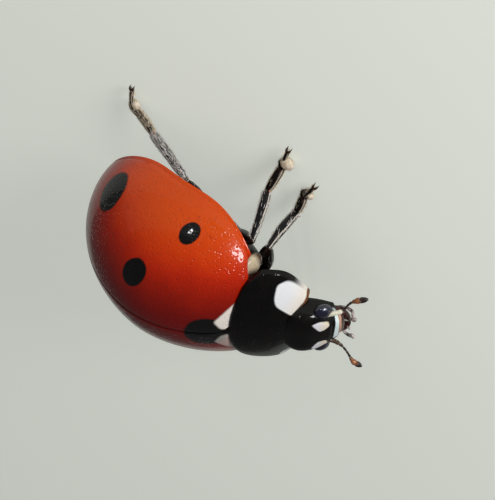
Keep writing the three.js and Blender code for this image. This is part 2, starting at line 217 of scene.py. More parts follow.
def dome_point(x, angle):
    """Point at a length x and an angle from the ridge, 0, to the left rim, a quarter turn."""
    side = np.sign(np.sin(angle)) * np.abs(np.sin(angle)) ** (2 / SECTION_ROUNDNESS)
    up = np.abs(np.cos(angle)) ** (2 / SECTION_ROUNDNESS)
    z = rim_height(x) + (crown_height(x) - rim_height(x)) * up
    return as_points(x, half_width(x) * side, z)


def dome_normal(x, angle):
    step = 0.004  # far enough for a steady slope
    rear = np.clip(x, -REAR_LENGTH + 2 * step, None)
    turn = np.clip(angle, step - QUARTER, QUARTER - step)
    along = dome_point(rear + step, turn) - dome_point(rear - step, turn)
    around = dome_point(rear, turn + step) - dome_point(rear, turn - step)
    return unit(np.cross(along, around))


def dome_inset(x, angle, depth):
    """The same point moved straight in from the surface."""
    return dome_point(x, angle) - dome_normal(x, angle) * np.asarray(depth)[..., None]


def base_x(angle):
    """Where the base of the wing cases lies at an angle from the ridge."""
    side = np.abs(np.sin(angle))
    return BASE_X + 0.12 * side**2 - 0.36 * np.maximum(0, (side - 0.88) / 0.12) ** 3


print("dome: width", 2 * HALF_WIDTH, "mm, height over the rim", CROWN, "mm")

# %% [markdown]
# ## From the body frame to the floor
#
# The body is pitched seven and a half degrees nose-up and stands over its feet. The pitch is a
# named value. Where the body stands comes from the frame: the boxes of the two packed wing cases
# say how far the dome has moved, so nothing here has to be fitted by eye.

# %% Seat the body over its feet
PITCH = math.radians(7.5)
TURN = np.array(Matrix.Rotation(-PITCH, 3, "Y"))


def seat_of_body():
    lows, highs = zip(*(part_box(f"elytron_{side}") for side in ("left", "right")))
    low = np.array(lows).min(0) / MM
    high = np.array(highs).max(0) / MM
    x = spread(-REAR_LENGTH, BASE_X, 400)[:, None]
    dome = dome_point(x, spread(-QUARTER, QUARTER, 181)[None]) @ TURN.T
    own_low, own_high = dome.min((0, 1)), dome.max((0, 1))
    return np.array([low[0] - own_low[0], (low[1] + high[1]) / 2, high[2] - own_high[2]])


SEAT = seat_of_body()


def to_floor(points):
    """Body frame to floor frame, both in millimetres."""
    return np.asarray(points, float) @ TURN.T + SEAT


def aim_to_floor(direction):
    return Vector(TURN @ np.asarray(direction, float)).normalized()


print("the body frame's origin stands at", SEAT.round(3), "mm")

# %% [markdown]
# ## Camera
#
# The animal is seen from its left, a little from the front and above, and the picture is rolled
# over, because the stem it clung to ran steeply. The camera is turned with the animal, so it
# stays above the floor. A long lens close by gives the true perspective of a close-up.

# %% Camera
AZIMUTH, ELEVATION, ROLL = math.radians(26.9), math.radians(23.0), math.radians(131.8)
AIM_AT = np.array([0.0, 0.0, 1.2])
DISTANCE = 40.0
FOCAL = 3.28  # focal length over the height of the picture
OFF_CENTRE = (0.0492, 0.0149)  # the animal's middle lies away from the middle of the picture


def camera_axes():
    towards = np.array([
        math.sin(AZIMUTH) * math.cos(ELEVATION),
        math.cos(AZIMUTH) * math.cos(ELEVATION),
        math.sin(ELEVATION),
    ])
    right = unit(np.cross(-towards, [0, 0, 1.0]))
    up = np.cross(right, -towards)
    c, s = math.cos(ROLL), math.sin(ROLL)
    return np.stack([c * right - s * up, s * right + c * up, towards], 1)


def link_up(name, data):
    """An object for a mesh, lamp or camera, put into the scene."""
    made = bpy.data.objects.new(name, data)
    bpy.context.scene.collection.objects.link(made)
    return made


def place_camera():
    axes = camera_axes()
    data = bpy.data.cameras.new("close_up")
    camera = link_up("close_up", data)
    spot = to_floor(AIM_AT + DISTANCE * axes[:, 2]) * MM
    back = unit(axes @ np.array([-OFF_CENTRE[0], -OFF_CENTRE[1], 1.0]))
    right = unit(axes[:, 0] - axes[:, 0] @ back * back)
    turned = TURN @ np.stack([right, np.cross(back, right), back], 1)
    camera.matrix_world = Matrix.Translation(spot) @ Matrix(turned.tolist()).to_4x4()
    data.sensor_width = 36
    data.lens = FOCAL * data.sensor_width
    data.clip_start, data.clip_end = 0.001, 20
    bpy.context.scene.camera = camera
    return camera


camera = place_camera()
print("camera at", [round(v / MM, 1) for v in camera.location], "mm")

# %% [markdown]
# ## Light and floor
#
# Three soft lamps and a pale surround, as on a product table. The main lamp stands low at the
# animal's left front, where it lights the flank more than the back. The back's deeper red is partly
# painted shade. A broad weak lamp fills the rear, and a narrow one puts a small clean highlight on
# the flank. The surround gives the rest, at a low level, so that glossy black stays black. The
# floor glows a little to anything that sees it, which keeps it pale.

# %% Lamps
LAMP_DISTANCE = 60.0
# which way each lamp lies in the body frame, its level, its two sizes in mm, and its turn
LAMPS = {
    "main_lamp": ((0.69, 0.74, 0.03), 0.78, (18, 16), 0),
    "rear_lamp": ((-0.6, 0.8, 0.0), 0.2, (100, 100), 0),
    "strip_lamp": ((0.0, 0.91, 0.41), 0.04, (5, 1.4), 90),
}


def soft_lamp(name, aim, level, size, turn):
    """A lamp of two sizes. Level 1 lights a white surface that faces it to plain white."""
    data = bpy.data.lights.new(name, "AREA")
    data.shape = "RECTANGLE"
    data.size, data.size_y = size[0] * MM, size[1] * MM
    data.energy = math.pi**2 * (LAMP_DISTANCE * MM) ** 2 * level
    lamp = link_up(name, data)
    direction = aim_to_floor(aim)
    lamp.location = Vector(to_floor(AIM_AT) * MM) + direction * LAMP_DISTANCE * MM
    lamp.rotation_mode = "QUATERNION"
    upright = direction.to_track_quat("Z", "Y")
    lamp.rotation_quaternion = upright @ Quaternion((0, 0, 1), math.radians(turn))


for name, (aim, level, size, turn) in LAMPS.items():
    soft_lamp(name, aim, level, size, turn)
    print(name, "level", level)

# %% [markdown]
# ## Nodes without much typing
#
# Finishes, the floor and the hairs are all trees of nodes, which take many lines to build by hand.
# A few short functions keep that readable: one adds any node and wires it up, and the others do
# arithmetic on numbers and vectors and turn a range of values into a soft step.

# %% Node helpers


def put(tree, kind, ins=(), **settings):
    """Adds a node. Each input is a number, a colour or another node's socket."""
    made = tree.nodes.new(kind)
    for name, value in settings.items():
        setattr(made, name, value)
    for key, value in ins.items() if isinstance(ins, dict) else enumerate(ins):
        if isinstance(value, bpy.types.NodeSocket):
            tree.links.new(value, made.inputs[key])
        elif value is not None:
            made.inputs[key].default_value = value
    return made


def calc(tree, operation, *values):
    return put(tree, "ShaderNodeMath", values, operation=operation).outputs[0]


def times(tree, first, second):
    return calc(tree, "MULTIPLY", first, second)


def calc_vector(tree, operation, *vectors):
    return put(tree, "ShaderNodeVectorMath", vectors, operation=operation).outputs


def ramp(tree, value, low, high, to_low=0.0, to_high=1.0):
    """A soft step: to_low at the value low, to_high at high."""
    return put(tree, "ShaderNodeMapRange",
               {"Value": value, "From Min": low, "From Max": high, "To Min": to_low,
                "To Max": to_high}, interpolation_type="SMOOTHSTEP").outputs[0]


def part_of(tree, place, axis):
    return put(tree, "ShaderNodeSeparateXYZ", (place,)).outputs[axis]


print("node helpers ready")

# %% Surround and floor
SURROUND = 0.15
FLOOR_HALF = 1.0  # metres
FLOOR_COLOUR = (0.74, 0.77, 0.7, 1)
GLOW_COLOUR = (0.86, 0.9, 0.82, 1)
FLOOR_GLOW = 0.44


def seen_rays(tree):
    """1 for what the camera sees directly or in a reflection, 0 for light that is shed."""
    path = put(tree, "ShaderNodeLightPath")
    straight = calc(tree, "MAXIMUM", path.outputs["Is Camera Ray"], path.outputs["Is Glossy Ray"])
    return calc(tree, "MAXIMUM", straight, path.outputs["Is Transmission Ray"])


def light_world():
    world = bpy.data.worlds.new("surround")
    bpy.context.scene.world = world
    world.use_nodes = True
    tree = world.node_tree
    tree.nodes.clear()
    even = put(tree, "ShaderNodeBackground", ((1, 1, 1, 1), SURROUND))
    put(tree, "ShaderNodeOutputWorld", (even.outputs[0],))


def pale_floor():
    mesh = bpy.data.meshes.new("floor")
    corners = FLOOR_HALF * np.array([(-1, -1, 0), (1, -1, 0), (1, 1, 0), (-1, 1, 0)])
    mesh.from_pydata(corners.tolist(), [], [(0, 1, 2, 3)])
    floor = link_up("floor", mesh)
    paint = bpy.data.materials.new("pale_floor")
    paint.use_nodes = True
    tree = paint.node_tree
    tree.nodes.clear()
    matt = put(tree, "ShaderNodeBsdfDiffuse", (FLOOR_COLOUR,))
    lift = put(tree, "ShaderNodeEmission", (GLOW_COLOUR, times(tree, seen_rays(tree), FLOOR_GLOW)))
    both = put(tree, "ShaderNodeAddShader", (matt.outputs[0], lift.outputs[0]))
    put(tree, "ShaderNodeOutputMaterial", (both.outputs[0],))
    mesh.materials.append(paint)
    floor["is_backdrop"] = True


bpy.context.scene.view_settings.view_transform = "Standard"
light_world()
pale_floor()
print("surround level", SURROUND, "floor", 2 * FLOOR_HALF, "m wide")

# %% [markdown]
# ## Effects that several finishes share
#
# A beetle's skin is hard, glossy and full of fine pits, and its markings are soft-edged spots. So
# three small node groups serve nearly every finish here. One draws pits, one draws a round spot
# anywhere in space, and one tells how far a place lies beside a straight line. A patch with
# straight sides is where a place lies inside of all its lines. The groups put out plain masks,
# heights and distances, and each finish decides what to do with them.

# %% Pits


def new_group(name, inputs, outputs):
    tree = bpy.data.node_groups.new(name, "ShaderNodeTree")
    kinds = {"value": "NodeSocketFloat", "vector": "NodeSocketVector"}
    for label, kind, start in inputs:
        socket = tree.interface.new_socket(label, in_out="INPUT", socket_type=kinds[kind])
        if start is not None:
            socket.default_value = start
    for label in outputs:
        tree.interface.new_socket(label, in_out="OUTPUT", socket_type="NodeSocketFloat")
    return tree, put(tree, "NodeGroupInput").outputs, put(tree, "NodeGroupOutput").inputs


def pits_group():
    tree, given, result = new_group(
        "Fine pits",
        [("Place", "vector", None), ("Pits per mm", "value", 9.0), ("Pit size", "value", 0.3)],
        ["Height", "Pit"],
    )
    cells = put(tree, "ShaderNodeTexVoronoi", {"Vector": given["Place"], "Scale": given[1]},
                feature="F1")
    dip = ramp(tree, cells.outputs["Distance"], 0.0, given[2])
    ripple = put(tree, "ShaderNodeTexNoise", {"Vector": given["Place"], "Scale": 5.0})
    uneven = times(tree, ripple.outputs[0], 0.35)
    tree.links.new(calc(tree, "ADD", dip, uneven), result["Height"])
    tree.links.new(calc(tree, "SUBTRACT", 1.0, dip), result["Pit"])
    return tree


PITS = pits_group()
print("group:", PITS.name)

# %% Round spots


def spot_group():
    tree, given, result = new_group(
        "Soft spot",
        [("Place", "vector", None), ("Centre", "vector", None), ("Turn", "vector", None),
         ("Size", "vector", (1, 1, 1)), ("Softness", "value", 0.08), ("Waviness", "value", 0.05)],
        ["Mask"],
    )
    own = put(tree, "ShaderNodeMapping",
              {"Vector": given["Place"], "Location": given["Centre"], "Rotation": given["Turn"],
               "Scale": given["Size"]}, vector_type="TEXTURE")
    reach = calc_vector(tree, "LENGTH", own.outputs[0])["Value"]
    wave = put(tree, "ShaderNodeTexNoise", {"Vector": given["Place"], "Scale": 3.5})
    swing = times(tree, calc(tree, "SUBTRACT", wave.outputs[0], 0.5), given["Waviness"])
    outside = calc(tree, "ADD", 1.0, given["Softness"])
    inside = calc(tree, "SUBTRACT", 1.0, given["Softness"])
    mask = ramp(tree, calc(tree, "ADD", reach, swing), outside, inside)
    tree.links.new(mask, result["Mask"])
    return tree


SPOT = spot_group()
print("group:", SPOT.name)

# %% Patches with straight sides


def side_group():
    """How far a place lies to the left of a line from one corner to the next, in x and y."""
    tree, given, result = new_group(
        "Side of a patch",
        [("Place", "vector", None), ("Corner", "vector", None), ("Next corner", "vector", None)],
        ["Distance"],
    )
    run = calc_vector(tree, "SUBTRACT", given[2], given[1])[0]
    along = calc_vector(tree, "NORMALIZE", run)[0]
    off = calc_vector(tree, "SUBTRACT", given[0], given[1])[0]
    turn = calc_vector(tree, "CROSS_PRODUCT", along, off)[0]
    tree.links.new(part_of(tree, turn, "Z"), result["Distance"])
    return tree


SIDE = side_group()


def use_group(tree, group, ins):
    return put(tree, "ShaderNodeGroup", ins, node_tree=group).outputs


def straight_patch(tree, place, corners, softness, rounding):
    """Mask of a patch with rounded corners, given in x and y, anticlockwise."""
    inside = None
    for corner, beside in zip(corners, corners[1:] + corners[:1]):
        distance = use_group(tree, SIDE, (place, (*corner, 0), (*beside, 0)))[0]
        if inside is None:
            inside = distance
        else:
            inside = calc(tree, "SMOOTH_MIN", inside, distance, rounding)
    return ramp(tree, inside, -softness, softness)


print("group:", SIDE.name)

# %% [markdown]
# ## Helpers for finishes
#
# A finish reads the place of each point on the animal. A Mapping node undoes the pitch and the
# scale, so that a pattern can be given in body millimetres on every piece.

# %% Finish helpers


def body_place(tree):
    where = put(tree, "ShaderNodeTexCoord").outputs["Object"]
    return put(tree, "ShaderNodeMapping",
               (where, tuple(SEAT * MM), (0, -PITCH, 0), (MM, MM, MM)),
               vector_type="TEXTURE").outputs[0]


def finish(name, **constants):
    """A material, its tree and shader, and the place on the body of each point.

    What is the same all over is set on the shader itself.
    """
    made = bpy.data.materials.new(name)
    made.use_nodes = True
    tree = made.node_tree
    shader = tree.nodes["Principled BSDF"]
    for socket, value in constants.items():
        shader.inputs[socket.replace("_", " ")].default_value = value
    return made, tree, shader, body_place(tree)


def own_map(tree, name):
    """The piece's own map, in which a pattern can follow its surface."""
    return put(tree, "ShaderNodeUVMap", uv_map=name).outputs[0]


def both_sides(tree, place):
    """The same place with y made positive, so that one pattern serves left and right."""
    x, y, z = put(tree, "ShaderNodeSeparateXYZ", (place,)).outputs
    return put(tree, "ShaderNodeCombineXYZ", (x, calc(tree, "ABSOLUTE", y), z)).outputs[0]


print("every finish knows the place on the body")

# %% Colours and skins


def tint(tree, mask, first, second):
    """First colour where the mask is 0, second where it is 1."""
    made = put(tree, "ShaderNodeMix", data_type="RGBA")
    for index, value in ((0, mask), (6, first), (7, second)):
        if isinstance(value, bpy.types.NodeSocket):
            tree.links.new(value, made.inputs[index])
        else:
            made.inputs[index].default_value = (*value, 1)
    return made.outputs[2]


def speckle(tree, place, scale, detail=3.0):
    return put(tree, "ShaderNodeTexNoise",
               {"Vector": place, "Scale": scale, "Detail": detail}).outputs[0]


def clouds(tree, place, scale, low, high):
    """Soft clouds: 0 where the speckle is under low, 1 where it is over high."""
    return ramp(tree, speckle(tree, place, scale), low, high)


def patchy(tree, place, scale, low, high):
    """Values that wander between low and high."""
    return ramp(tree, speckle(tree, place, scale), 0.3, 0.7, low, high)


def bumped(tree, height, depth, distance):
    return put(tree, "ShaderNodeBump",
               {"Strength": depth, "Distance": distance * MM, "Height": height}).outputs[0]


def pitted(tree, place, per_mm, size, depth, distance):
    """How far each place lies in a pit, and the normal of the pitted skin."""
    pits = use_group(tree, PITS, (place, per_mm, size))
    return pits["Pit"], bumped(tree, pits["Height"], depth, distance)


def feed(tree, shader, **sockets):
    """Wires what changes over the surface to the shader."""
    for name, source in sockets.items():
        tree.links.new(source, shader.inputs[name.replace("_", " ")])


print("colours, clouds and pits can be drawn")

# %% [markdown]
# ## From parts to pieces
#
# One function turns parts into a finished piece. It merges doubled points, which closes poles and
# seams, turns all faces outwards, and hides the imported nodes that the piece stands for.

# %% Make a piece


DOUBLED = 0.0004  # mm between points that are one and the same
SHARP = math.radians(50)


def mesh_from(name, parts, floor_frame):
    """One mesh of several parts, given in the body frame or in the floor frame."""
    points, faces, uvs, lies = [], [], [], []
    for part in parts:
        start = sum(len(p) for p in points)
        points.append(part["points"] if floor_frame else to_floor(part["points"]))
        lies.append(part["lie"] if floor_frame else part["lie"] @ TURN.T)
        faces += [tuple(start + k for k in face) for face in part["faces"]]
        uvs.append(part["uv"])
    mesh = bpy.data.meshes.new(name)
    mesh.from_pydata((np.vstack(points) * MM).tolist(), [], faces)
    lie = mesh.attributes.new("lie", "FLOAT_VECTOR", "POINT")
    lie.data.foreach_set("vector", np.vstack(lies).ravel())
    corner = np.empty(len(mesh.loops), np.int32)
    mesh.loops.foreach_get("vertex_index", corner)
    layer = mesh.uv_layers.new(name="Skin")
    layer.data.foreach_set("uv", np.vstack(uvs)[corner].ravel())
    shape = bmesh.new()
    shape.from_mesh(mesh)
    bmesh.ops.remove_doubles(shape, verts=shape.verts, dist=DOUBLED * MM)
    bmesh.ops.dissolve_degenerate(shape, edges=shape.edges, dist=DOUBLED / 4 * MM)
    bmesh.ops.recalc_face_normals(shape, faces=shape.faces)
    shape.to_mesh(mesh)
    shape.free()
    mesh.polygons.foreach_set("use_smooth", [True] * len(mesh.polygons))
    mesh.set_sharp_from_angle(angle=SHARP)
    return mesh


def settle(name, mesh, nodes=()):
    """Puts a finished mesh in the scene under the root and hides the imported parts it stands for.
    """
    made = link_up(name, mesh)
    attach(made, "root")
    if nodes:
        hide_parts(*nodes)
    print(f"{name}: {len(mesh.polygons)} faces")
    return made


def piece(name, parts, paint, nodes=(), floor_frame=False):
    mesh = mesh_from(name, parts, floor_frame)
    mesh.materials.append(paint)
    return settle(name, mesh, nodes)


SIDES = {"left": 1, "right": -1}


def mirrored(part, side):
    if side > 0:
        return part
    turned = np.array([1, -1, 1])
    return {**part, "points": part["points"] * turned, "lie": part["lie"] * turned}


print("pieces can be made")

# %% [markdown]
# ## Wing cases
#
# Each wing case is a thin hard shell. Its outer side is the dome, its edge is a fine bead above a
# shallow gutter, and below the bead it turns in as a narrow ledge that grips the belly. The seam
# edge dips a little, which draws the fine line down the back.
#
# The finish is a clear gloss over pigment: orange on the flanks and deeper red on the back, with
# seven black spots. Three are on each side, and the seventh is shared across the seam behind the
# scutellum, between two white patches at the base. The deeper red on the back is partly the
# pigment and partly painted shade. The flanks are painted a lighter orange toward the rear, which
# is painted light, and the right white patch is painted duller than the left, which is painted
# shade.

# %% Where the spots lie


def on_dome(x, y, spin):
    """The point of the left dome over a place in plan, and the turn of a spot that lies there."""
    side = (y / half_width(np.array(x))) ** (SECTION_ROUNDNESS / 2)
    angle = np.arcsin(np.clip(side, 0, 1))
    point = dome_point(np.array(x), angle)
    normal = dome_normal(np.array(x), angle)
    level = unit(np.array([1.0, 0, 0]) - normal[0] * normal)
    along = math.cos(spin) * level + math.sin(spin) * np.cross(normal, level)
    frame_here = np.stack([along, np.cross(normal, along), normal], 1)
    return tuple(point), tuple(Matrix(frame_here.tolist()).to_euler())


# length from the widest place, distance from the seam, half length, half breadth, and spin
SPOTS = {
    "rear": (-1.80, 1.68, 0.44, 0.54, 0.0),
    "flank": (0.72, 2.21, 0.225, 0.295, -0.15),
    "middle": (-0.02, 1.20, 0.30, 0.425, -0.35),
}
SPOT_REACH = 0.7  # mm above and below the skin
SPOT_BLACK = (0.0035, 0.003, 0.003)
# the middle, turn and half sizes of the spot that both wing cases share
SHARED_SPOT = ((1.89, 0.0, 1.85), (0, 0, 0), (0.52, 0.56, 0.6))
# corners in plan of the white patch at the base
BASE_PATCH = [(2.5, 0.12), (2.5, 0.98), (2.24, 0.96), (1.98, 0.42), (2.12, 0.13)]
print("spots on each side:", list(SPOTS))

# %% Wing-case finish


def wing_case_finish():
    made, tree, shader, place = finish("wing_case_red", Coat_Roughness=0.05,
                                       Specular_IOR_Level=0.05)
    paired = both_sides(tree, place)
    cloud = speckle(tree, place, 1.3)
    level = calc(tree, "ADD", part_of(tree, paired, "Y"), times(tree, cloud, 0.5))
    # deeper red toward the seam: partly the pigment, partly painted shade
    back = tint(tree, ramp(tree, level, 0.55, 2.65), (0.18, 0.003, 0.0015), (0.62, 0.024, 0.002))
    # painted light: the flanks are painted a lighter orange toward the rear
    rear_painted_light = ramp(tree, part_of(tree, place, "X"), 0.3, -2.2)
    orange = tint(tree, rear_painted_light, (0.62, 0.064, 0.003), (0.86, 0.088, 0.004))
    flank = tint(tree, ramp(tree, level, 1.7, 2.7), back, orange)
    mottle = ramp(tree, speckle(tree, place, 7.0, 5.0), 0.62, 0.8, 0.0, 0.35)
    colour = tint(tree, mottle, flank, (0.16, 0.008, 0.004))
    seam = ramp(tree, part_of(tree, paired, "Y"), 0.05, 0.018)
    colour = tint(tree, times(tree, seam, 0.6), colour, (0.03, 0.005, 0.004))
    spots = [(paired, *on_dome(x, y, spin), (long, broad, SPOT_REACH), 0.07, 0.12)
             for x, y, long, broad, spin in SPOTS.values()]
    for spot in (*spots, (place, *SHARED_SPOT, 0.08, 0.15)):
        colour = tint(tree, use_group(tree, SPOT, spot)[0], colour, SPOT_BLACK)
    white = straight_patch(tree, paired, BASE_PATCH, 0.03, 0.08)
    # painted shade: the right white patch at the base is painted duller than the left
    left = ramp(tree, part_of(tree, place, "Y"), -0.05, 0.05, 0.42, 1.0)
    colour = tint(tree, times(tree, white, left), colour, (0.95, 0.87, 0.80))
    gloss = ramp(tree, part_of(tree, paired, "Y"), 0.015, 0.06, 0.0, 0.45)  # none in the seam
    pits = use_group(tree, PITS, (place, 13.0, 0.4))
    skin, coat = (bumped(tree, pits["Height"], depth, 0.02) for depth in (0.6, 0.4))
    feed(tree, shader, Base_Color=colour, Roughness=patchy(tree, place, 30.0, 0.26, 0.42),
         Normal=skin, Coat_Normal=coat, Coat_Weight=gloss)
    return made


wing_case_red = wing_case_finish()
print("finish:", wing_case_red.name)

# %% Wing cases
SEAM_HALF = 0.002
CASE_THICK, LEDGE_THICK = 0.13, 0.07
LEDGE_STEPS = 7


def ledge_width(x):
    """Breadth of the ledge that turns in under the rim: gone near the tip and the shoulder."""
    broad = 0.12 + 0.36 * np.clip((x + REAR_LENGTH) / 4.2, 0, 1)
    broad = broad * np.clip((2.05 - x) / 0.45, 0.1, 1)
    return np.minimum(broad, 0.75 * half_width(x))


def wing_case_part(side):
    rows = 1 - (1 - spread(0, 1, 150)) ** 1.7
    angle = QUARTER * spread(0, 1, 96)[None]
    x = base_x(angle) + (-REAR_LENGTH - base_x(angle)) * rows[:, None]
    seam_dip = 0.014 * bell(dome_point(x, angle)[..., 1], 0, 0.035)
    gutter = 0.03 * bell(angle / QUARTER, 0.965, 0.014)  # just inside the bead
    edge_round = 0.04 * np.exp(-(rows[:, None] / 0.006))  # along the base
    outer = dome_inset(x, angle, seam_dip + gutter + edge_round)
    inner = dome_inset(x, angle, CASE_THICK + 0 * x)
    rim_x = x[:, -1:]
    rim_z = rim_height(rim_x)
    inner[..., 2] = np.maximum(inner[..., 2], rim_z + LEDGE_THICK)
    share = spread(0, 1, LEDGE_STEPS + 1)[None, 1:]
    ledge = as_points(rim_x, half_width(rim_x) - 0.012 - ledge_width(rim_x) * share,
                      rim_z - 0.015 + 0.07 * share**2)
    top_of_ledge = ledge + [0, 0, LEDGE_THICK]
    top_of_ledge[:, 0] = inner[:, -1]
    outer = np.concatenate([outer, ledge], 1)
    inner = np.concatenate([inner, top_of_ledge], 1)
    for layer in (outer, inner):
        layer[..., 1] = np.maximum(layer[..., 1], SEAM_HALF)
    return mirrored(plate_part(outer, inner), side)


for side_name, side in SIDES.items():
    piece(f"wing_case_{side_name}", [wing_case_part(side)], wing_case_red,
          [f"elytron_{side_name}"])

# %% [markdown]
# ## Black shield
#
# The pronotum is the shield behind the head. It is arched, black and finely pitted, with a large
# white patch in each front corner and a thin brown edge. Its grid runs from base to front, t, and
# from side to side, v, and the patch is drawn in those two numbers, so it follows the shield's
# own shape. The shield thins to nothing at its edges like a lens, which rounds them.

# %% Shield shape
NECK = np.array([2.25, 0, 1.47])
NECK_PITCH = math.radians(30)
BASE_HALF, FRONT_HALF = 1.67, 0.94  # half widths of the shield


def from_pitched(place, pitch, f, y, u):
    """A place in a frame pitched nose-down at a place of the body frame."""
    c, s = math.cos(pitch), math.sin(pitch)
    return as_points(f * c + u * s, y, u * c - f * s) + place


def shield_point(t, v, depth):
    """A point of the shield. Depth is 0 on its outer face and 1 on its inner one."""
    corner = np.maximum(0, (np.abs(v) - 0.8) / 0.2) ** 2  # rounds all four corners
    base = 0.42 * np.abs(v) ** 2.2 + 0.16 * corner
    front = 1.42 + 0.46 * v**2 - 0.13 * corner
    f = base + (front - base) * t
    taper = np.maximum(0, t) ** 1.4
    half = BASE_HALF + (FRONT_HALF - BASE_HALF) * taper + 0.17 * np.sin(np.pi * taper**0.5)
    half = half + 0.16 * np.sin(np.pi * np.clip(t, 0, 1) ** 1.3) ** 2  # full front corners
    drop = (0.54 - 0.08 * t) * np.abs(v) ** 2.3
    thick = 0.5 - 0.27 * np.abs(v) ** 3
    across = half * v - 0.12 * taper**3  # the head end is held a touch to the right
    return from_pitched(NECK, NECK_PITCH, f, across, -0.149 * f**2 - drop - depth * thick)


def lens_part(place, rows, columns, middle, power):
    """A closed plate whose two faces meet in a rounded edge all the way round.

    Middle is the depth of that edge, and a higher power makes it blunter.
    """
    t, s = eased(rows)[:, None], eased(columns)[None]
    v = 2 * s - 1
    full = bow(2 * t - 1, power) * bow(v, power)
    outer = place(t, v, middle - middle * full)
    inner = place(t, v, middle + (1 - middle) * full)
    part = plate_part(outer, inner)
    grid = as_points(t, v).reshape(-1, 2)
    part["shield_uv"] = np.vstack([grid, grid])
    return part


print("shield base is", 2 * BASE_HALF, "mm wide")

# %% Shield and head finish
# corners of the left white patch in t and v
SHIELD_PATCH = [(0.93, 1.02), (0.60, 0.97), (0.505, 0.895), (0.575, 0.70), (0.655, 0.62),
                (0.91, 0.57), (0.985, 1.02)]
RIGHT_SHIFT = 0.17  # how much further out the right patch lies
BLACK = (0.0016, 0.0014, 0.0016)


def black_finish(name, markings=None, pits=11.0, depth=0.4, shine=0.2):
    """Glossy pitted black. Markings is a function that paints over the black."""
    made, tree, shader, place = finish(name, Coat_Weight=shine, Coat_Roughness=0.09, Coat_IOR=1.8,
                                       Specular_IOR_Level=0.04)
    warm = clouds(tree, place, 4.0, 0.35, 0.75)
    colour = tint(tree, warm, BLACK, (0.004, 0.0025, 0.002))
    if markings:
        colour = markings(tree, place, colour)
    _, normal = pitted(tree, place, pits, 0.3, depth, 0.02)
    feed(tree, shader, Base_Color=colour, Roughness=patchy(tree, place, 25.0, 0.45, 0.6),
         Normal=normal, Coat_Normal=normal)
    return made


def shield_markings(tree, _, colour):
    own = own_map(tree, "Shield")
    along, across = part_of(tree, own, "X"), part_of(tree, own, "Y")
    right = calc(tree, "LESS_THAN", across, 0.0)
    shift = times(tree, right, RIGHT_SHIFT)
    beside = calc(tree, "SUBTRACT", calc(tree, "ABSOLUTE", across), shift)
    own = put(tree, "ShaderNodeCombineXYZ", (along, beside, 0.0)).outputs[0]
    edge = ramp(tree, along, 0.952, 0.968)
    colour = tint(tree, times(tree, edge, ramp(tree, beside, 0.3, 0.6)), colour,
                  (0.16, 0.06, 0.02))
    patch = straight_patch(tree, own, SHIELD_PATCH, 0.015, 0.05)
    patch = times(tree, patch, ramp(tree, along, 0.968, 0.952))
    warm = ramp(tree, along, 0.7, 0.98)
    return tint(tree, patch, colour, tint(tree, warm, (0.86, 0.86, 0.88), (0.88, 0.80, 0.70)))


shield_black = black_finish("shield_black", shield_markings)
print("finish:", shield_black.name)

# %% Shield
shield_part = lens_part(shield_point, 90, 150, 0.5, 7)
shield = piece("pronotum_shield", [{**shield_part, "uv": shield_part["shield_uv"]}], shield_black,
               ["pronotum"])
shield.data.uv_layers["Skin"].name = "Shield"

# %% [markdown]
# ## Scutellum and seam
#
# Where the two wing cases meet the shield lies the scutellum, a small black triangle that points
# back. Behind it the wing cases close along the seam. In life a tongue on one edge fits a groove
# in the other. Here a thin black strip just under the seam closes the fine gap, so that no light
# shines through it.

# %% Scutellum and seam tongue


def scutellum_part():
    """A small triangle between the wing cases, pointing back, a little domed."""
    tilt = math.atan2(float(crown_height(BASE_X - 0.4) - crown_height(BASE_X)), 0.4)
    place = np.array([BASE_X - 0.02, 0, float(crown_height(np.array(BASE_X))) + 0.02])

    def point(t, v, depth):
        half = 0.21 * np.minimum(1, 1.02 - t) + 0.004
        f = 0.2 - 0.6 * t
        return from_pitched(place, tilt, f, half * v, 0.02 - 0.03 * v**2 - 0.22 * depth)

    return lens_part(point, 24, 24, 0.4, 6)


TONGUE_HALF = 0.06
TONGUE_DEPTHS = (0.05, 0.11)  # mm under the dome, of its two faces


def seam_tongue_part():
    """The tongue under the seam, on which the two wing cases close."""
    x = spread(BASE_X - 0.1, 0.06 - REAR_LENGTH, 90)[:, None] + np.zeros((1, 5))
    layers = [dome_inset(x, 0 * x, depth) for depth in TONGUE_DEPTHS]
    for layer in layers:
        layer[..., 1] = spread(-TONGUE_HALF, TONGUE_HALF, 5)
    return plate_part(*layers)


scutellum_black = black_finish("scutellum_black", pits=14.0)
piece("scutellum_plate", [scutellum_part()], scutellum_black, ["scutellum"])
piece("seam_tongue", [seam_tongue_part()], scutellum_black)

# %% [markdown]
# ## Head
#
# The head hangs down in front of the shield. Its capsule is a row of rounded rings, from the neck
# over the brow to the mouth edge. Between the eyes sit two cream spots, and a pale bluish band, a
# painted highlight, crosses the face above the mouth. The frame of the head is pitched by 58
# degrees: f runs down the face and u points out of it. Spots and band are drawn in that frame, so
# they turn with the head.

# %% Head shape
HEAD_CENTRE = np.array([3.3, -0.11, -0.05])  # held a touch to the right
HEAD_PITCH = math.radians(58)
HEAD_SECTIONS = 56


def head_place(f, y, u):
    return from_pitched(HEAD_CENTRE, HEAD_PITCH, f, y, u)


def head_outline():
    """Place along the head, half width, and half depth before and behind, of each ring.

    The rings run from the neck over the skull, down the face, and in at the mouth edge.
    """
    skull = -np.cos(QUARTER * spread(0.06, 1, 26))
    swell = bow(skull, 2.2)
    back = np.stack([0.1 + 0.72 * skull, 0.77 * bow(skull, 2.6), 0.56 * swell, 0.32 * swell], 1)
    t = spread(0, 1, 22)[1:]
    face = np.stack([0.1 + 0.62 * t, 0.77 - 0.31 * t**1.5, 0.56 - 0.05 * t**2, 0.32 - 0.24 * t], 1)
    turn = spread(0, QUARTER * 0.95, 8)[1:]
    tuck = 0.2 * (1 - np.cos(turn))
    edge = np.stack([0.72 + 0.06 * np.sin(turn), 0.46 - tuck, 0.51 - tuck, 0.08 - tuck], 1)
    return np.vstack([back, face, edge])


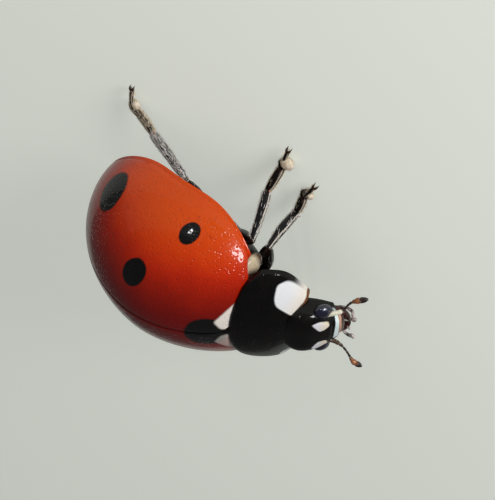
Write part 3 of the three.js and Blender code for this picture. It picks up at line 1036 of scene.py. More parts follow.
def head_part():
    turn = round_turn(HEAD_SECTIONS)[None]
    f, wide, before, behind = (column[:, None] for column in head_outline().T)
    c, s = np.cos(turn), np.sin(turn)
    y = wide * np.sign(c) * np.abs(c) ** np.where(s > 0, 0.52, 0.8)
    u = np.where(s > 0, before * np.abs(s) ** 0.52, -behind * np.abs(s) ** 0.85)
    front = np.clip(s, 0, 1)
    groove = 0.01 * bell(f, 0.57, 0.03) * front  # above the pale band, a painted highlight
    hollow = 0.03 * bell(np.abs(y), 0.55, 0.06) * bell(f, 0.5, 0.1) * front  # by each antenna
    return grid_part(head_place(f, y, u - groove - hollow), wrap=True)


print("the head is pitched by", round(math.degrees(HEAD_PITCH)), "degrees")

# %% Head markings
# corners down the face and across it, in the head's frame
FACE_SPOTS = [
    [(0.04, 0.52), (0.23, 0.22), (0.34, 0.22), (0.48, 0.32), (0.47, 0.46), (0.22, 0.56)],
    [(0.05, -0.44), (0.14, -0.66), (0.44, -0.68), (0.46, -0.34), (0.40, -0.23), (0.20, -0.22)],
]
# the pale bluish band across the face, which is a painted highlight
PAINTED_HIGHLIGHT_BAND = [(0.60, -0.27), (0.72, -0.25), (0.77, 0.56), (0.66, 0.52)]


def head_frame(tree, place):
    return put(tree, "ShaderNodeMapping",
               (place, tuple(HEAD_CENTRE), (0, HEAD_PITCH, 0), (1, 1, 1)),
               vector_type="TEXTURE").outputs[0]


def head_markings(tree, place, colour):
    own = head_frame(tree, place)
    down, out = part_of(tree, own, "X"), part_of(tree, own, "Z")
    before = ramp(tree, out, 0.12, 0.22)
    cream = tint(tree, ramp(tree, down, 0.15, 0.42), (0.80, 0.78, 0.82), (0.88, 0.78, 0.62))
    for corners in FACE_SPOTS:
        spot = times(tree, straight_patch(tree, own, corners, 0.02, 0.08), before)
        colour = tint(tree, spot, colour, cream)
    # painted highlight: the pale bluish band across the face
    highlight_band = times(tree, straight_patch(tree, own, PAINTED_HIGHLIGHT_BAND, 0.015, 0.03), before)
    return tint(tree, highlight_band, colour, (0.74, 0.86, 0.86))


head_black = black_finish("head_black", head_markings, 13.0, 0.2, 0.22)
piece("head_capsule", [head_part()], head_black, ["head"])

# %% [markdown]
# ## Eyes
#
# A ladybird's eye is a black ball set into the side of the head, made of hundreds of tiny lenses.
# Geometry Nodes suit this well: one small lens is set on every point of the ball, each turned to
# face outwards. The instances are realized, and the result becomes a plain mesh.

# %% Geometry Nodes helpers


def geometry_tree(name, inputs):
    tree = bpy.data.node_groups.new(name, "GeometryNodeTree")
    tree.is_modifier = True
    kinds = {"value": "NodeSocketFloat", "whole": "NodeSocketInt", "paint": "NodeSocketMaterial"}
    tree.interface.new_socket("Geometry", in_out="INPUT", socket_type="NodeSocketGeometry")
    for label, kind, start in inputs:
        socket = tree.interface.new_socket(label, in_out="INPUT", socket_type=kinds[kind])
        if start is not None:
            socket.default_value = start
    tree.interface.new_socket("Geometry", in_out="OUTPUT", socket_type="NodeSocketGeometry")
    return tree, put(tree, "NodeGroupInput").outputs, put(tree, "NodeGroupOutput").inputs


def grown(name, base, tree, values):
    """Runs a tree on a base mesh and returns the result as a plain mesh."""
    holder = link_up(name + "_base", base)
    modifier = holder.modifiers.new("grow", "NODES")
    modifier.node_group = tree
    for socket in tree.interface.items_tree:
        if socket.in_out == "INPUT" and socket.name in values:
            modifier[socket.identifier] = values[socket.name]
    depsgraph = bpy.context.evaluated_depsgraph_get()
    mesh = bpy.data.meshes.new_from_object(holder.evaluated_get(depsgraph), depsgraph=depsgraph)
    mesh.name = name
    holder.modifiers.clear()
    bpy.data.objects.remove(holder)
    return mesh


print("node trees can grow on a mesh")

# %% Eye facets
LENS_RISE = 0.14  # height of a lens over its radius


def facets_tree():
    tree, given, result = geometry_tree(
        "Eye facets", [("Facet size", "value", 0.00002), ("Paint", "paint", None)])
    normal = put(tree, "GeometryNodeInputNormal").outputs[0]
    turn = put(tree, "FunctionNodeAlignRotationToVector", {"Vector": normal}, axis="Z")
    lens = put(tree, "GeometryNodeMeshCone",
               {"Vertices": 6, "Side Segments": 1, "Radius Top": 0.0, "Radius Bottom": 1.0,
                "Depth": LENS_RISE}, fill_type="NONE")
    flat = scaled(tree, (1, 1, 1), given["Facet size"])
    set_out = put(tree, "GeometryNodeInstanceOnPoints",
                  {"Points": given["Geometry"], "Instance": lens.outputs[0],
                   "Rotation": turn.outputs[0], "Scale": flat})
    real = put(tree, "GeometryNodeRealizeInstances", (set_out.outputs[0],))
    smooth = put(tree, "GeometryNodeSetShadeSmooth", {"Geometry": real.outputs[0]})
    joined = put(tree, "GeometryNodeJoinGeometry")
    for source in (given["Geometry"], smooth.outputs[0]):
        tree.links.new(source, joined.inputs[0])
    painted = put(tree, "GeometryNodeSetMaterial",
                  {"Geometry": joined.outputs[0], "Material": given["Paint"]})
    tree.links.new(painted.outputs[0], result["Geometry"])
    return tree


def scaled(tree, vector, amount):
    return put(tree, "ShaderNodeVectorMath", {0: vector, "Scale": amount},
               operation="SCALE").outputs[0]


FACETS = facets_tree()
print("tree:", FACETS.name)

# %% Eyes
EYE_CENTRE = (0.37, 0.7, 0.33)
EYE_RADII = np.array([0.22, 0.205, 0.15])
FACET_SIZE = 0.0085


def eye_finish():
    made, tree, shader, place = finish("eye_black", Coat_Weight=0.5, Coat_Roughness=0.21,
                                       Coat_IOR=2.2, IOR=1.5, Specular_IOR_Level=0.3,
                                       Specular_Tint=(0.4, 0.5, 1.0, 1.0))
    glint = clouds(tree, place, 6.0, 0.35, 0.7)
    feed(tree, shader, Base_Color=tint(tree, glint, (0.002, 0.002, 0.01), (0.004, 0.003, 0.02)),
         Roughness=ramp(tree, glint, 0, 1, 0.34, 0.4))
    return made


def ball_mesh(name, centre):
    """A ball of even triangles, stretched in the head's frame."""
    shape = bmesh.new()
    bmesh.ops.create_icosphere(shape, subdivisions=5, radius=1)
    local = np.array([v.co[:] for v in shape.verts]) * EYE_RADII + centre
    placed = to_floor(head_place(*local.T)) * MM
    for vert, spot in zip(shape.verts, placed):
        vert.co = spot
    mesh = bpy.data.meshes.new(name)
    shape.to_mesh(mesh)
    shape.free()
    mesh.polygons.foreach_set("use_smooth", [True] * len(mesh.polygons))
    return mesh


eye_black = eye_finish()
for side_name, side in SIDES.items():
    ball = ball_mesh(f"eye_{side_name}", np.array(EYE_CENTRE) * [1, side, 1])
    faceted = grown(f"compound_eye_{side_name}", ball, FACETS,
                    {"Facet size": FACET_SIZE * MM, "Paint": eye_black})
    settle(f"compound_eye_{side_name}", faceted, [f"eye_{side_name}"])

# %% [markdown]
# ## Tubes for limbs, feelers and claws
#
# Legs, feelers, palps and claws are all bent tubes that change in thickness. One function sweeps
# a flattened ring along a smooth path through a few stops. Its ends are domed, so every segment
# is closed and sits in its neighbour like a real joint.

# %% Tube helper


def smooth_path(stops, count):
    """A curve through a few stops, each a row of numbers, by Catmull-Rom rules."""
    stops = np.asarray(stops, float)
    padded = np.vstack([2 * stops[0] - stops[1], stops, 2 * stops[-1] - stops[-2]])
    position = spread(0, len(stops) - 1, count)
    index = np.minimum(position.astype(int), len(stops) - 2)
    t = (position - index)[:, None]
    p0, p1, p2, p3 = (padded[index + k] for k in range(4))
    return 0.5 * (2 * p1 + (p2 - p0) * t + (2 * p0 - 5 * p1 + 4 * p2 - p3) * t**2
                  + (3 * p1 - p0 - 3 * p2 + p3) * t**3)


TUBE_UP = (0.05, 0.1, 1.0)  # nearly upright, and never the way that a tube runs
DOME_STEPS = 4
DOME_LENGTH = 0.8  # of the radius at that end


def tube_part(stops, rows, sides, broad=1.0, flat=1.0):
    """A tube through stops of x, y, z and radius, with domed ends."""
    path = smooth_path(stops, rows)
    centre, radius = path[:, :3], np.maximum(path[:, 3], 1e-4)
    run = unit(np.gradient(centre, axis=0))
    angle = QUARTER * spread(0, 1, DOME_STEPS + 1)[:-1]
    ahead, shrink = DOME_LENGTH * np.cos(angle)[:, None], np.sin(angle)
    first = centre[0] - run[0] * radius[0] * ahead
    last = centre[-1] + run[-1] * radius[-1] * ahead[::-1]
    centre = np.vstack([first, centre, last])
    radius = np.concatenate([radius[0] * shrink, radius, radius[-1] * shrink[::-1]])
    run = np.vstack([[run[0]] * DOME_STEPS, run, [run[-1]] * DOME_STEPS])
    side = unit(np.cross(TUBE_UP, run))
    over = np.cross(run, side)
    turn = round_turn(sides)
    ring = (side[:, None] * np.cos(turn)[None, :, None] * broad
            + over[:, None] * np.sin(turn)[None, :, None] * flat)
    return grid_part(centre[:, None] + ring * radius[:, None, None], wrap=True, ends=False)


def egg_part(centre, radii, rows=20, sides=28, place=None):
    """A closed egg. Place moves it from its own frame to the body frame."""
    polar = np.pi * spread(0, 1, rows)[:, None]
    turn = round_turn(sides)[None]
    ball = as_points(np.cos(polar), np.sin(polar) * np.cos(turn), np.sin(polar) * np.sin(turn))
    local = ball * radii + centre
    points = place(*np.moveaxis(local, -1, 0)) if place else local
    return grid_part(points, wrap=True, ends=False)


print("tubes ready")

# %% [markdown]
# ## Mouthparts
#
# Below the pale band, a painted highlight, hangs the upper lip, and behind it close the two dark
# red-brown jaws. On each side stands a palp, a small feeler that a ladybird taps its food with. Its
# last segment is broad and cut off like a hatchet blade, which is how this family of beetles is
# known.

# %% Mouthpart finishes


def chitin_finish(name, dark, light, scale=9.0, rough=(0.3, 0.45), coat=0.5):
    """Plain hard skin with a soft change of colour."""
    made, tree, shader, place = finish(name, Coat_Weight=coat, Coat_Roughness=0.12,
                                       Specular_IOR_Level=0.35)
    cloud = clouds(tree, place, scale, 0.35, 0.65)
    feed(tree, shader, Base_Color=tint(tree, cloud, dark, light),
         Roughness=patchy(tree, place, 3 * scale, *rough),
         Normal=bumped(tree, speckle(tree, place, 6 * scale), 0.2, 0.01))
    return made


def lip_finish():
    """Peach where the lip hangs from the face, dark maroon at its free edge."""
    made, tree, shader, place = finish("lip_maroon", Coat_Weight=0.5, Coat_Roughness=0.12,
                                       Specular_IOR_Level=0.35)
    down = part_of(tree, head_frame(tree, place), "X")
    wave = times(tree, speckle(tree, place, 9.0), 0.03)
    edge = ramp(tree, calc(tree, "ADD", down, wave), 0.80, 0.84)
    feed(tree, shader, Base_Color=tint(tree, edge, (0.72, 0.42, 0.30), (0.03, 0.006, 0.006)),
         Roughness=ramp(tree, edge, 0, 1, 0.4, 0.28))
    return made


jaw_brown = chitin_finish("jaw_red_brown", (0.014, 0.003, 0.003), (0.07, 0.012, 0.008))
lip_maroon = lip_finish()
# the palps are dark brown with pale pinkish patches, which are painted highlights
palp_brown_and_painted_glints = chitin_finish("palp_brown_and_painted_glints", (0.05, 0.022, 0.018), (0.62, 0.52, 0.50), 7.0, coat=0.8)
print("finishes:", [paint.name for paint in (jaw_brown, lip_maroon, palp_brown_and_painted_glints)])

# %% Mouthparts
# stops in the head's frame: down the face, across it, and out of it; the jaw's radius comes last
JAW = [(0.64, 0.28, 0.1, 0.17), (0.84, 0.28, 0.2, 0.17), (0.98, 0.19, 0.28, 0.12),
       (1.06, 0.07, 0.33, 0.05), (1.07, 0.02, 0.34, 0.015)]
JAW_PALP = [(0.86, 0.36, 0.08), (1.0, 0.55, 0.3), (1.08, 0.54, 0.42), (1.08, 0.42, 0.5)]
LIP_PALP = [(0.86, 0.12, 0.2), (0.98, 0.17, 0.3), (1.02, 0.16, 0.4)]


def jaw_part(side):
    placed = [(*head_place(f, side * y, u), radius) for f, y, u, radius in JAW]
    return tube_part(placed, 26, 18, 1.0, 0.8)


def palp_parts(side, stops, blade):
    """A palp of short segments and a hatchet-shaped last one."""
    joints = [head_place(f, side * y, u) for f, y, u in stops]
    tip = joints[-1] + 0.8 * blade * unit(joints[-1] - joints[-2])

    def segment(start, end, middle, last, *shape):
        stops = [(*start, blade * 0.4), (*(0.5 * start + 0.5 * end), blade * middle),
                 (*end, blade * last)]
        return tube_part(stops, *shape)

    parts = [segment(start, end, 0.5, 0.45, 8, 12) for start, end in zip(joints, joints[1:])]
    return parts + [segment(joints[-1], tip, 0.8, 1, 10, 16, 1.0, 0.55)]


piece("upper_lip", [egg_part((0.8, 0.08, 0.37), (0.12, 0.38, 0.12), place=head_place)], lip_maroon,
      ["labrum"])
piece("jaws", [jaw_part(side) for side in SIDES.values()], jaw_brown, ["mandibles"])
for side_name, side in SIDES.items():
    piece(f"jaw_palp_{side_name}", palp_parts(side, JAW_PALP, 0.085), palp_brown_and_painted_glints,
          [f"maxillary_palp_{side_name}"])
piece("lip_palps", [part for side in SIDES.values() for part in palp_parts(side, LIP_PALP, 0.045)],
      palp_brown_and_painted_glints)

# %% [markdown]
# ## Antennae
#
# A ladybird's antenna is short. It has eleven segments: a stout first one, a row of small brown
# beads and a dark club of three. The first one is pale cream on the left antenna, partly its own
# paler colour and partly a painted highlight, and dark on the right one, which is painted shade.
# The tube's radius is pinched where two segments meet, so the joints are real shape, and the
# colour runs along the tube from root to tip.

# %% Antenna shape
# stops in the body frame, from root to tip
ANTENNA_AXIS = {
    "left": [(3.82, 0.46, -0.16), (3.97, 0.57, -0.3), (4.08, 0.62, -0.41), (4.15, 0.68, -0.5),
             (4.19, 0.82, -0.57), (4.27, 0.98, -0.62), (4.38, 1.1, -0.67), (4.58, 1.23, -0.79)],
    "right": [(3.88, -0.5, -0.17), (3.99, -0.49, -0.25), (4.1, -0.56, -0.34),
              (4.25, -0.7, -0.42), (4.37, -0.9, -0.47), (4.45, -1.04, -0.49),
              (4.56, -1.17, -0.5), (4.74, -1.28, -0.58)],
}
SEGMENTS = 11
ANTENNA_ROWS = 90
# radius in mm along the antenna, from its root to the tip of the club
ANTENNA_PROFILE = [(0, 0.045), (0.15, 0.06), (0.34, 0.055), (0.44, 0.03), (0.6, 0.028),
                   (0.74, 0.034), (0.82, 0.06), (0.91, 0.084), (1, 0.055)]


def antenna_part(axis):
    share, size = np.array(ANTENNA_PROFILE).T
    path = smooth_path(axis, ANTENNA_ROWS)
    t = spread(0, 1, ANTENNA_ROWS)
    # how far the nearest joint is, in segments; the stout root has none
    joint = np.abs((np.maximum(t, 0.3) * SEGMENTS + 0.5) % 1 - 0.5)
    pinch = 1 - 0.32 * bell(joint, 0, 0.13)
    stops = np.column_stack([path, np.interp(t, share, size) * pinch])
    return tube_part(stops, ANTENNA_ROWS, 14)


print("antenna:", SEGMENTS, "segments")

# %% Antennae


def antenna_finish():
    made, tree, shader, place = finish("antenna_brown", Coat_Weight=0.3, Coat_Roughness=0.15,
                                       Specular_IOR_Level=0.35)
    own = own_map(tree, "Skin")
    along = part_of(tree, own, "Y")
    # the first segment is pale cream on the left antenna, partly its own paler colour and partly a
    # painted highlight, and dark on the right one, which is painted shade
    left = ramp(tree, part_of(tree, place, "Y"), -0.4, 0.3)
    colour = tint(tree, left, (0.05, 0.025, 0.012), (0.80, 0.76, 0.60))
    for low, high, next_colour in ((0.38, 0.43, (0.035, 0.018, 0.012)),
                                   (0.68, 0.8, (0.36, 0.13, 0.05)),
                                   (0.82, 0.9, (0.015, 0.009, 0.007))):
        colour = tint(tree, ramp(tree, along, low, high), colour, next_colour)
    feed(tree, shader, Base_Color=colour, Roughness=patchy(tree, place, 30.0, 0.35, 0.55),
         Normal=bumped(tree, speckle(tree, place, 60.0), 0.3, 0.01))
    return made


antenna_brown = antenna_finish()
antennae = [piece(f"antenna_of_{side_name}", [antenna_part(axis)], antenna_brown,
                  [f"antenna_{side_name}"]) for side_name, axis in ANTENNA_AXIS.items()]

# %% [markdown]
# ## Trunk and underside
#
# Under the wing cases the trunk is a closed body. Its belly is plated: behind the legs lie six
# plates that overlap like roof tiles, and between the legs the breast plates have fine seams. The
# steps are real shape, a small saw-tooth in the depth of the belly.

# %% Trunk shape
BELLY_SEAMS = (-0.12, -0.85, -1.32, -1.75, -2.15, -2.5)
BELLY_END = -3.1
BELLY_DEPTH = 0.58
BELLY_LIFT = 0.02
PLATE_STEP = 0.035
UNDER_DOME = 0.56  # mm between the dome's outer side and the trunk's back


def belly_depth(x):
    """How far the belly hangs below the rim."""
    return BELLY_DEPTH * np.where(x > 0, 1, 1 - 0.5 * (x / REAR_LENGTH) ** 2)


def plate_steps(x):
    """Saw-tooth depth over the belly plates: each ends in a small step over the next."""
    seams = np.array(BELLY_SEAMS)
    step = np.zeros_like(x)
    for ahead, behind in zip(seams, np.append(seams[1:], BELLY_END)):
        inside = (x <= ahead) & (x > behind)
        share = np.clip(1 - (ahead - x) / (ahead - behind), 0, 1)
        step = np.where(inside, PLATE_STEP * share**1.5, step)
    return step


def trunk_part(front, rear, rows):
    """A length of the closed trunk: its back under the dome, and its belly."""
    x = spread(front, rear, rows)[:, None]
    back = dome_inset(x, spread(-QUARTER, QUARTER, 41)[None], UNDER_DOME + 0 * x)
    edge = back[:, -1]
    turn = np.pi * spread(0, 1, 61)[None, 1:-1]
    here = edge[:, :1]
    drop = edge[:, 2:] + belly_depth(here) * bow((here + 0.3) / 2.9, 3)
    steps = plate_steps(here) * np.sin(turn) ** 0.5
    keel = 0.03 * bell(np.cos(turn), 0, 0.03) * (here > 0)
    belly = as_points(
        here,
        edge[:, 1:2] * np.cos(turn),
        edge[:, 2:] - drop * np.sin(turn) ** 0.95 + steps + keel + BELLY_LIFT,
    )
    return grid_part(np.concatenate([back, belly], 1), wrap=True)


print("belly plates:", len(BELLY_SEAMS))

# %% Trunk


def underside_finish():
    made, tree, shader, place = finish("underside_black", Coat_Weight=0.2, Coat_Roughness=0.2,
                                       Specular_IOR_Level=0.1)
    cloud = clouds(tree, place, 3.0, 0.35, 0.7)
    colour = tint(tree, cloud, (0.006, 0.005, 0.005), (0.018, 0.012, 0.009))
    margin = ramp(tree, part_of(tree, both_sides(tree, place), "Y"), 1.7, 2.05)
    colour = tint(tree, times(tree, margin, 0.5), colour, (0.05, 0.022, 0.012))
    pit, normal = pitted(tree, place, 8.0, 0.35, 0.4, 0.03)
    feed(tree, shader, Base_Color=colour, Normal=normal, Roughness=ramp(tree, pit, 0, 1, 0.4, 0.6))
    return made


underside_black = underside_finish()
thorax = piece("breast", [trunk_part(2.0, 0.1, 60)], underside_black, ["thorax"])
belly = piece("belly", [trunk_part(0.12, -3.05, 150)], underside_black, ["abdomen"])


def pitched_at_neck(f, y, u):
    return from_pitched(NECK, NECK_PITCH, f, y, u)


neck_part = egg_part((0.72, -0.05, -1.04), (0.76, 0.88, 0.74), 30, 44, pitched_at_neck)
piece("neck_ring", [neck_part], underside_black, ["prothorax"])

# %% [markdown]
# ## Shoulder plates
#
# A small pale plate shows at each shoulder, between the shield and the wing case. It is the side
# plate of the middle thorax, slightly rough, and brown at its lower end. An egg shape gives its
# swell, and the trunk and the wing case hide the rest of the egg.

# %% Shoulder plates


def shoulder_finish():
    made, tree, shader, place = finish("shoulder_white", Coat_Weight=0.2, Coat_Roughness=0.2,
                                       Specular_IOR_Level=0.3)
    low = ramp(tree, part_of(tree, place, "Z"), 0.12, 0.3)
    cloud = times(tree, clouds(tree, place, 8.0, 0.4, 0.6), 0.4)
    pale = tint(tree, cloud, (0.58, 0.47, 0.32), (0.42, 0.33, 0.21))
    pit, normal = pitted(tree, place, 12.0, 0.4, 0.5, 0.03)
    feed(tree, shader, Base_Color=tint(tree, low, (0.10, 0.06, 0.04), pale), Normal=normal,
         Roughness=ramp(tree, pit, 0, 1, 0.35, 0.55))
    return made


shoulder_white = shoulder_finish()
shoulders = [piece(f"shoulder_plate_{side_name}",
                   [egg_part((1.97, side * 1.33, 0.34), (0.17, 0.32, 0.35))],
                   shoulder_white, [f"mesepimeron_{side_name}"])
             for side_name, side in SIDES.items()]

# %% [markdown]
# ## Legs
#
# Each leg has a stout thigh, a slimmer shin with two spurs, and a foot of three visible segments:
# a small one, a broad two-lobed one with a brush under it and a pale cushion ahead of it, and a
# slender one that carries a pair of toothed claws. The joints are in the body frame, and the foot
# rests on the floor.

# %% Leg joints
# coxa, knee and ankle in the body frame; the broad foot segment and the claws over the floor; the
# size of the pale cushion, and how stout the thigh is
LEGS = {
    "front": {"coxa": (1.85, 0.5, -0.25), "knee": (2.15, 1.78, -0.08), "ankle": (1.89, 1.6, -1.37),
              "pad": (2.17, 2.21, 0.17), "claws": (2.47, 2.78, 0.12),
              "cushion": 0.1, "stout": 1},
    "middle": {"coxa": (0.9, 0.95, -0.3), "knee": (1.74, 1.83, 0.03), "ankle": (1.24, 2.2, -1.06),
               "pad": (1.56, 2.94, 0.18), "claws": (1.7, 3.62, 0.12),
               "cushion": 0.17, "stout": 1},
    "hind": {"coxa": (-0.3, 0.95, -0.5), "knee": (-0.6, 1.81, -0.24), "ankle": (-2.03, 2.08, -0.6),
             "pad": (-2.77, 2.2, 0.24), "claws": (-2.85, 2.88, 0.12),
             "cushion": 0.12, "stout": 0.8},
}
RIGHT_SWING = 0.12  # mm that the right feet stand further back
SWING_SHARES = {"coxa": 0, "knee": 0.3, "ankle": 0.7}


def leg_joints(leg, side):
    """One leg's joints in the floor frame."""
    swing = RIGHT_SWING if side < 0 else 0
    joints = {name: to_floor(np.array(leg[name]) * [1, side, 1] - [share * swing, 0, 0])
              for name, share in SWING_SHARES.items()}
    for name in ("pad", "claws"):
        x, y, height = leg[name]
        joints[name] = np.array([SEAT[0] + x - swing, SEAT[1] + side * y, height])
    return {**joints, "cushion": leg["cushion"], "stout": leg["stout"]}


print("legs:", list(LEGS))

# %% Leg finishes


def leg_finish(name, dark, light, coat=0.25, hair_and_highlight_lines=0.0):
    """Dark skin that turns lighter at the end, with pale lines along the edges if asked.

    The lines lie where the skin faces forward or back: partly a pale hair fringe, partly painted
    highlights.
    """
    made, tree, shader, place = finish(name, Coat_Weight=coat, Coat_Roughness=0.12,
                                       Specular_IOR_Level=0.12)
    own = own_map(tree, "Skin")
    along = calc(tree, "ADD", part_of(tree, own, "Y"),
                 times(tree, speckle(tree, place, 8.0), 0.2))
    colour = tint(tree, ramp(tree, along, 0.75, 1.1), dark, light)
    if hair_and_highlight_lines:
        # painted highlights, partly a pale hair fringe: pale lines where the skin faces forward or
        # back
        facing = put(tree, "ShaderNodeNewGeometry").outputs["Normal"]
        ahead = calc(tree, "ABSOLUTE", part_of(tree, facing, "X"))
        hair_and_highlight_line = times(tree, ramp(tree, ahead, 0.64, 0.71), ramp(tree, ahead, 0.88, 0.81))
        colour = tint(tree, times(tree, hair_and_highlight_line, hair_and_highlight_lines), colour, (0.80, 0.72, 0.60))
    _, normal = pitted(tree, place, 16.0, 0.35, 0.25, 0.02)
    feed(tree, shader, Base_Color=colour, Normal=normal,
         Roughness=patchy(tree, place, 25.0, 0.25, 0.42))
    return made


thigh_black = leg_finish("thigh_black", (0.004, 0.003, 0.003), (0.014, 0.007, 0.005))
shin_black = leg_finish("shin_black", (0.006, 0.005, 0.006), (0.03, 0.012, 0.006), hair_and_highlight_lines=0.8)
foot_black = leg_finish("foot_black", (0.006, 0.004, 0.004), (0.03, 0.012, 0.006), hair_and_highlight_lines=0.7)
claw_brown = leg_finish("claw_brown", (0.03, 0.012, 0.006), (0.015, 0.007, 0.005), 0.8)
pad_cream = chitin_finish("pad_cream", (0.60, 0.48, 0.34), (0.86, 0.78, 0.64), 14.0,
                          (0.5, 0.7), 0.1)
spur_orange = leg_finish("spur_orange", (0.45, 0.12, 0.03), (0.30, 0.07, 0.02), 0.8)
LEG_PAINTS = {"thigh": thigh_black, "shin": shin_black, "spurs": spur_orange, "foot": foot_black,
              "pads": pad_cream, "claws": claw_brown}
print("leg finishes:", [paint.name for paint in LEG_PAINTS.values()])

# %% Thighs, shins and spurs


def between(start, end, share, lift=0.0):
    return start + (end - start) * share + np.array([0, 0, lift])


def thigh_parts(joints):
    coxa, knee, stout = (joints[name] for name in ("coxa", "knee", "stout"))
    stops = [(*between(coxa, knee, t), r * stout) for t, r in
             ((0.0, 0.12), (0.2, 0.185), (0.5, 0.205), (0.8, 0.16), (0.98, 0.1))]
    hip = [(*between(coxa, knee, t), r) for t, r in ((-0.1, 0.14), (0.04, 0.17), (0.16, 0.12))]
    return [tube_part(stops, 30, 22, 1.0, 0.82), tube_part(hip, 14, 22)]


def shin_line(joints):
    """The bent line of the shin, and the direction across it."""
    knee, ankle = joints["knee"], joints["ankle"]
    out = unit(np.cross(unit(ankle - knee), [0, 0, 1.0]))
    return lambda t: between(knee, ankle, t) + out * 0.03 * math.sin(math.pi * t), out


def shin_parts(joints):
    at, _ = shin_line(joints)
    sizes = ((0.0, 0.07), (0.1, 0.095), (0.35, 0.11), (0.7, 0.125), (0.93, 0.12), (0.99, 0.095))
    return [tube_part([(*at(t), r) for t, r in sizes], 30, 20, 1.0, 0.85)]


def spur_parts(joints):
    at, out = shin_line(joints)
    parts = []
    for turn in (-1, 1):
        root, tip = at(0.93) + out * 0.085 * turn, at(1.03) + out * 0.13 * turn
        parts.append(tube_part([(*root, 0.026), (*between(root, tip, 0.5), 0.018), (*tip, 0.004)],
                               8, 10))
    return parts


print("thighs, shins and spurs can be made")

# %% Feet and cushions


def foot_axis(joints):
    """The line of the foot: down from the ankle to the broad segment, then along the floor."""
    ankle, pad, claws = (joints[name] for name in ("ankle", "pad", "claws"))
    stops = [ankle, between(ankle, pad, 0.55, -0.04), pad, between(pad, claws, 0.5, 0.03), claws]
    return smooth_path(stops, 101)


def foot_parts(joints):
    axis = foot_axis(joints)

    def along(stops):
        return [(*(axis[round(100 * t)] + [0, 0, lift]), r) for t, lift, r in stops]

    first = along([(0.0, 0, 0.075), (0.12, 0, 0.105), (0.33, 0, 0.11), (0.4, 0, 0.09)])
    lobes = along([(0.36, 0, 0.05), (0.44, -0.02, 0.1), (0.52, -0.04, 0.13), (0.58, -0.05, 0.1)])
    slim = along([(0.48, 0.03, 0.03), (0.62, 0.04, 0.035), (0.8, 0.03, 0.05), (0.88, 0.01, 0.05)])
    return [tube_part(first, 16, 16, 1.0, 0.85), tube_part(lobes, 16, 18, 1.1, 0.75),
            tube_part(slim, 18, 14)]


def pad_parts(joints):
    """The pale cushion that swells out ahead of the broad segment."""
    pad, claws, size = (joints[name] for name in ("pad", "claws", "cushion"))
    centre = between(pad, claws, 0.22) + np.array([0.1, 0, 0.02])
    centre[2] = max(centre[2], 0.8 * size)
    return [egg_part(centre, (size, size, 0.78 * size), 20, 26)]


print("feet can be made")

# %% Claws
# how far ahead, to the side and up each stop lies, and its radius
BLADE = [(0.0, 0.015, 0.0, 0.035), (0.06, 0.035, 0.02, 0.03), (0.11, 0.05, 0.0, 0.02),
         (0.13, 0.055, -0.08, 0.004)]
TOOTH = [(0.04, 0.035, 0.0, 0.024), (0.07, 0.04, -0.03, 0.018), (0.08, 0.04, -0.06, 0.004)]


def claw_parts(joints):
    """A pair of curved claws, each with a tooth at its base."""
    axis = foot_axis(joints)
    root = axis[88]
    run = unit((axis[100] - axis[80]) * [1, 1, 0])
    out = np.cross(run, [0, 0, 1.0])
    return [tube_part([(*(root + run * ahead + out * turn * beside + [0, 0, rise]), radius)
                       for ahead, beside, rise, radius in hook], 14, 10)
            for turn in (-1, 1) for hook in (BLADE, TOOTH)]


print("claws can be made")

# %% Six legs
# how each part of a leg is made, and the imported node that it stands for
LEG_PLAN = {"thigh": (thigh_parts, "femur"), "shin": (shin_parts, "tibia"),
            "spurs": (spur_parts, None), "foot": (foot_parts, "tarsus"),
            "pads": (pad_parts, None), "claws": (claw_parts, None)}
legs = {name: [] for name in LEG_PLAN}
for leg_name, leg in LEGS.items():
    for side_name, side in SIDES.items():
        joints = leg_joints(leg, side)
        place = f"{leg_name}_{side_name}"
        for name, (build, node) in LEG_PLAN.items():
            nodes = [f"leg_{place}_{node}"] if node else []
            legs[name].append(piece(f"{name}_{place}", build(joints), LEG_PAINTS[name],
                                    nodes, floor_frame=True))

# %% [markdown]
# ## Hairs
#
# Seen close, a ladybird's legs and underside carry fine pale hairs, and the feet have dense
# golden brushes. One Geometry Nodes tree grows them all. It scatters points over a skin, sets a
# thin bent cone on each, leans it the way the part runs, and realizes the lot. Each hair keeps
# the place of its root on the skin's own map, as a small patch, so that its colour can be baked.

# %% Hair shape
HAIR_SIZES = (0.6, 1.15)  # the least and the most, over the length asked for
PATCH = 0.003  # size of a hair's patch on the skin's map


def named(tree, name, kind):
    """What the skin carries under a name."""
    return put(tree, "GeometryNodeInputNamedAttribute", {"Name": name}, data_type=kind).outputs[0]


def bent_hair(tree, given):
    """One thin cone, bent to one side, with its own map kept as a patch."""
    long = times(tree, given["Length mm"], MM)
    cone = put(tree, "GeometryNodeMeshCone",
               {"Vertices": 3, "Side Segments": 3, "Depth": long,
                "Radius Bottom": times(tree, given["Width mm"], MM / 2),
                "Radius Top": times(tree, given["Width mm"], MM / 12)},
               fill_type="NONE").outputs
    patch = put(tree, "GeometryNodeStoreNamedAttribute",
                {"Geometry": cone["Mesh"], "Name": "patch", "Value": cone["UV Map"]},
                data_type="FLOAT_VECTOR", domain="CORNER")
    height = part_of(tree, put(tree, "GeometryNodeInputPosition").outputs[0], "Z")
    share = calc(tree, "DIVIDE", height, long)
    bend = times(tree, times(tree, share, share), times(tree, given["Curl"], long))
    offset = put(tree, "ShaderNodeCombineXYZ", (bend, 0.0, 0.0)).outputs[0]
    return put(tree, "GeometryNodeSetPosition",
               {"Geometry": patch.outputs[0], "Offset": offset}).outputs[0]


print("a hair has 3 sides and 3 lengths, and varies from", *HAIR_SIZES)

# %% Hair tree


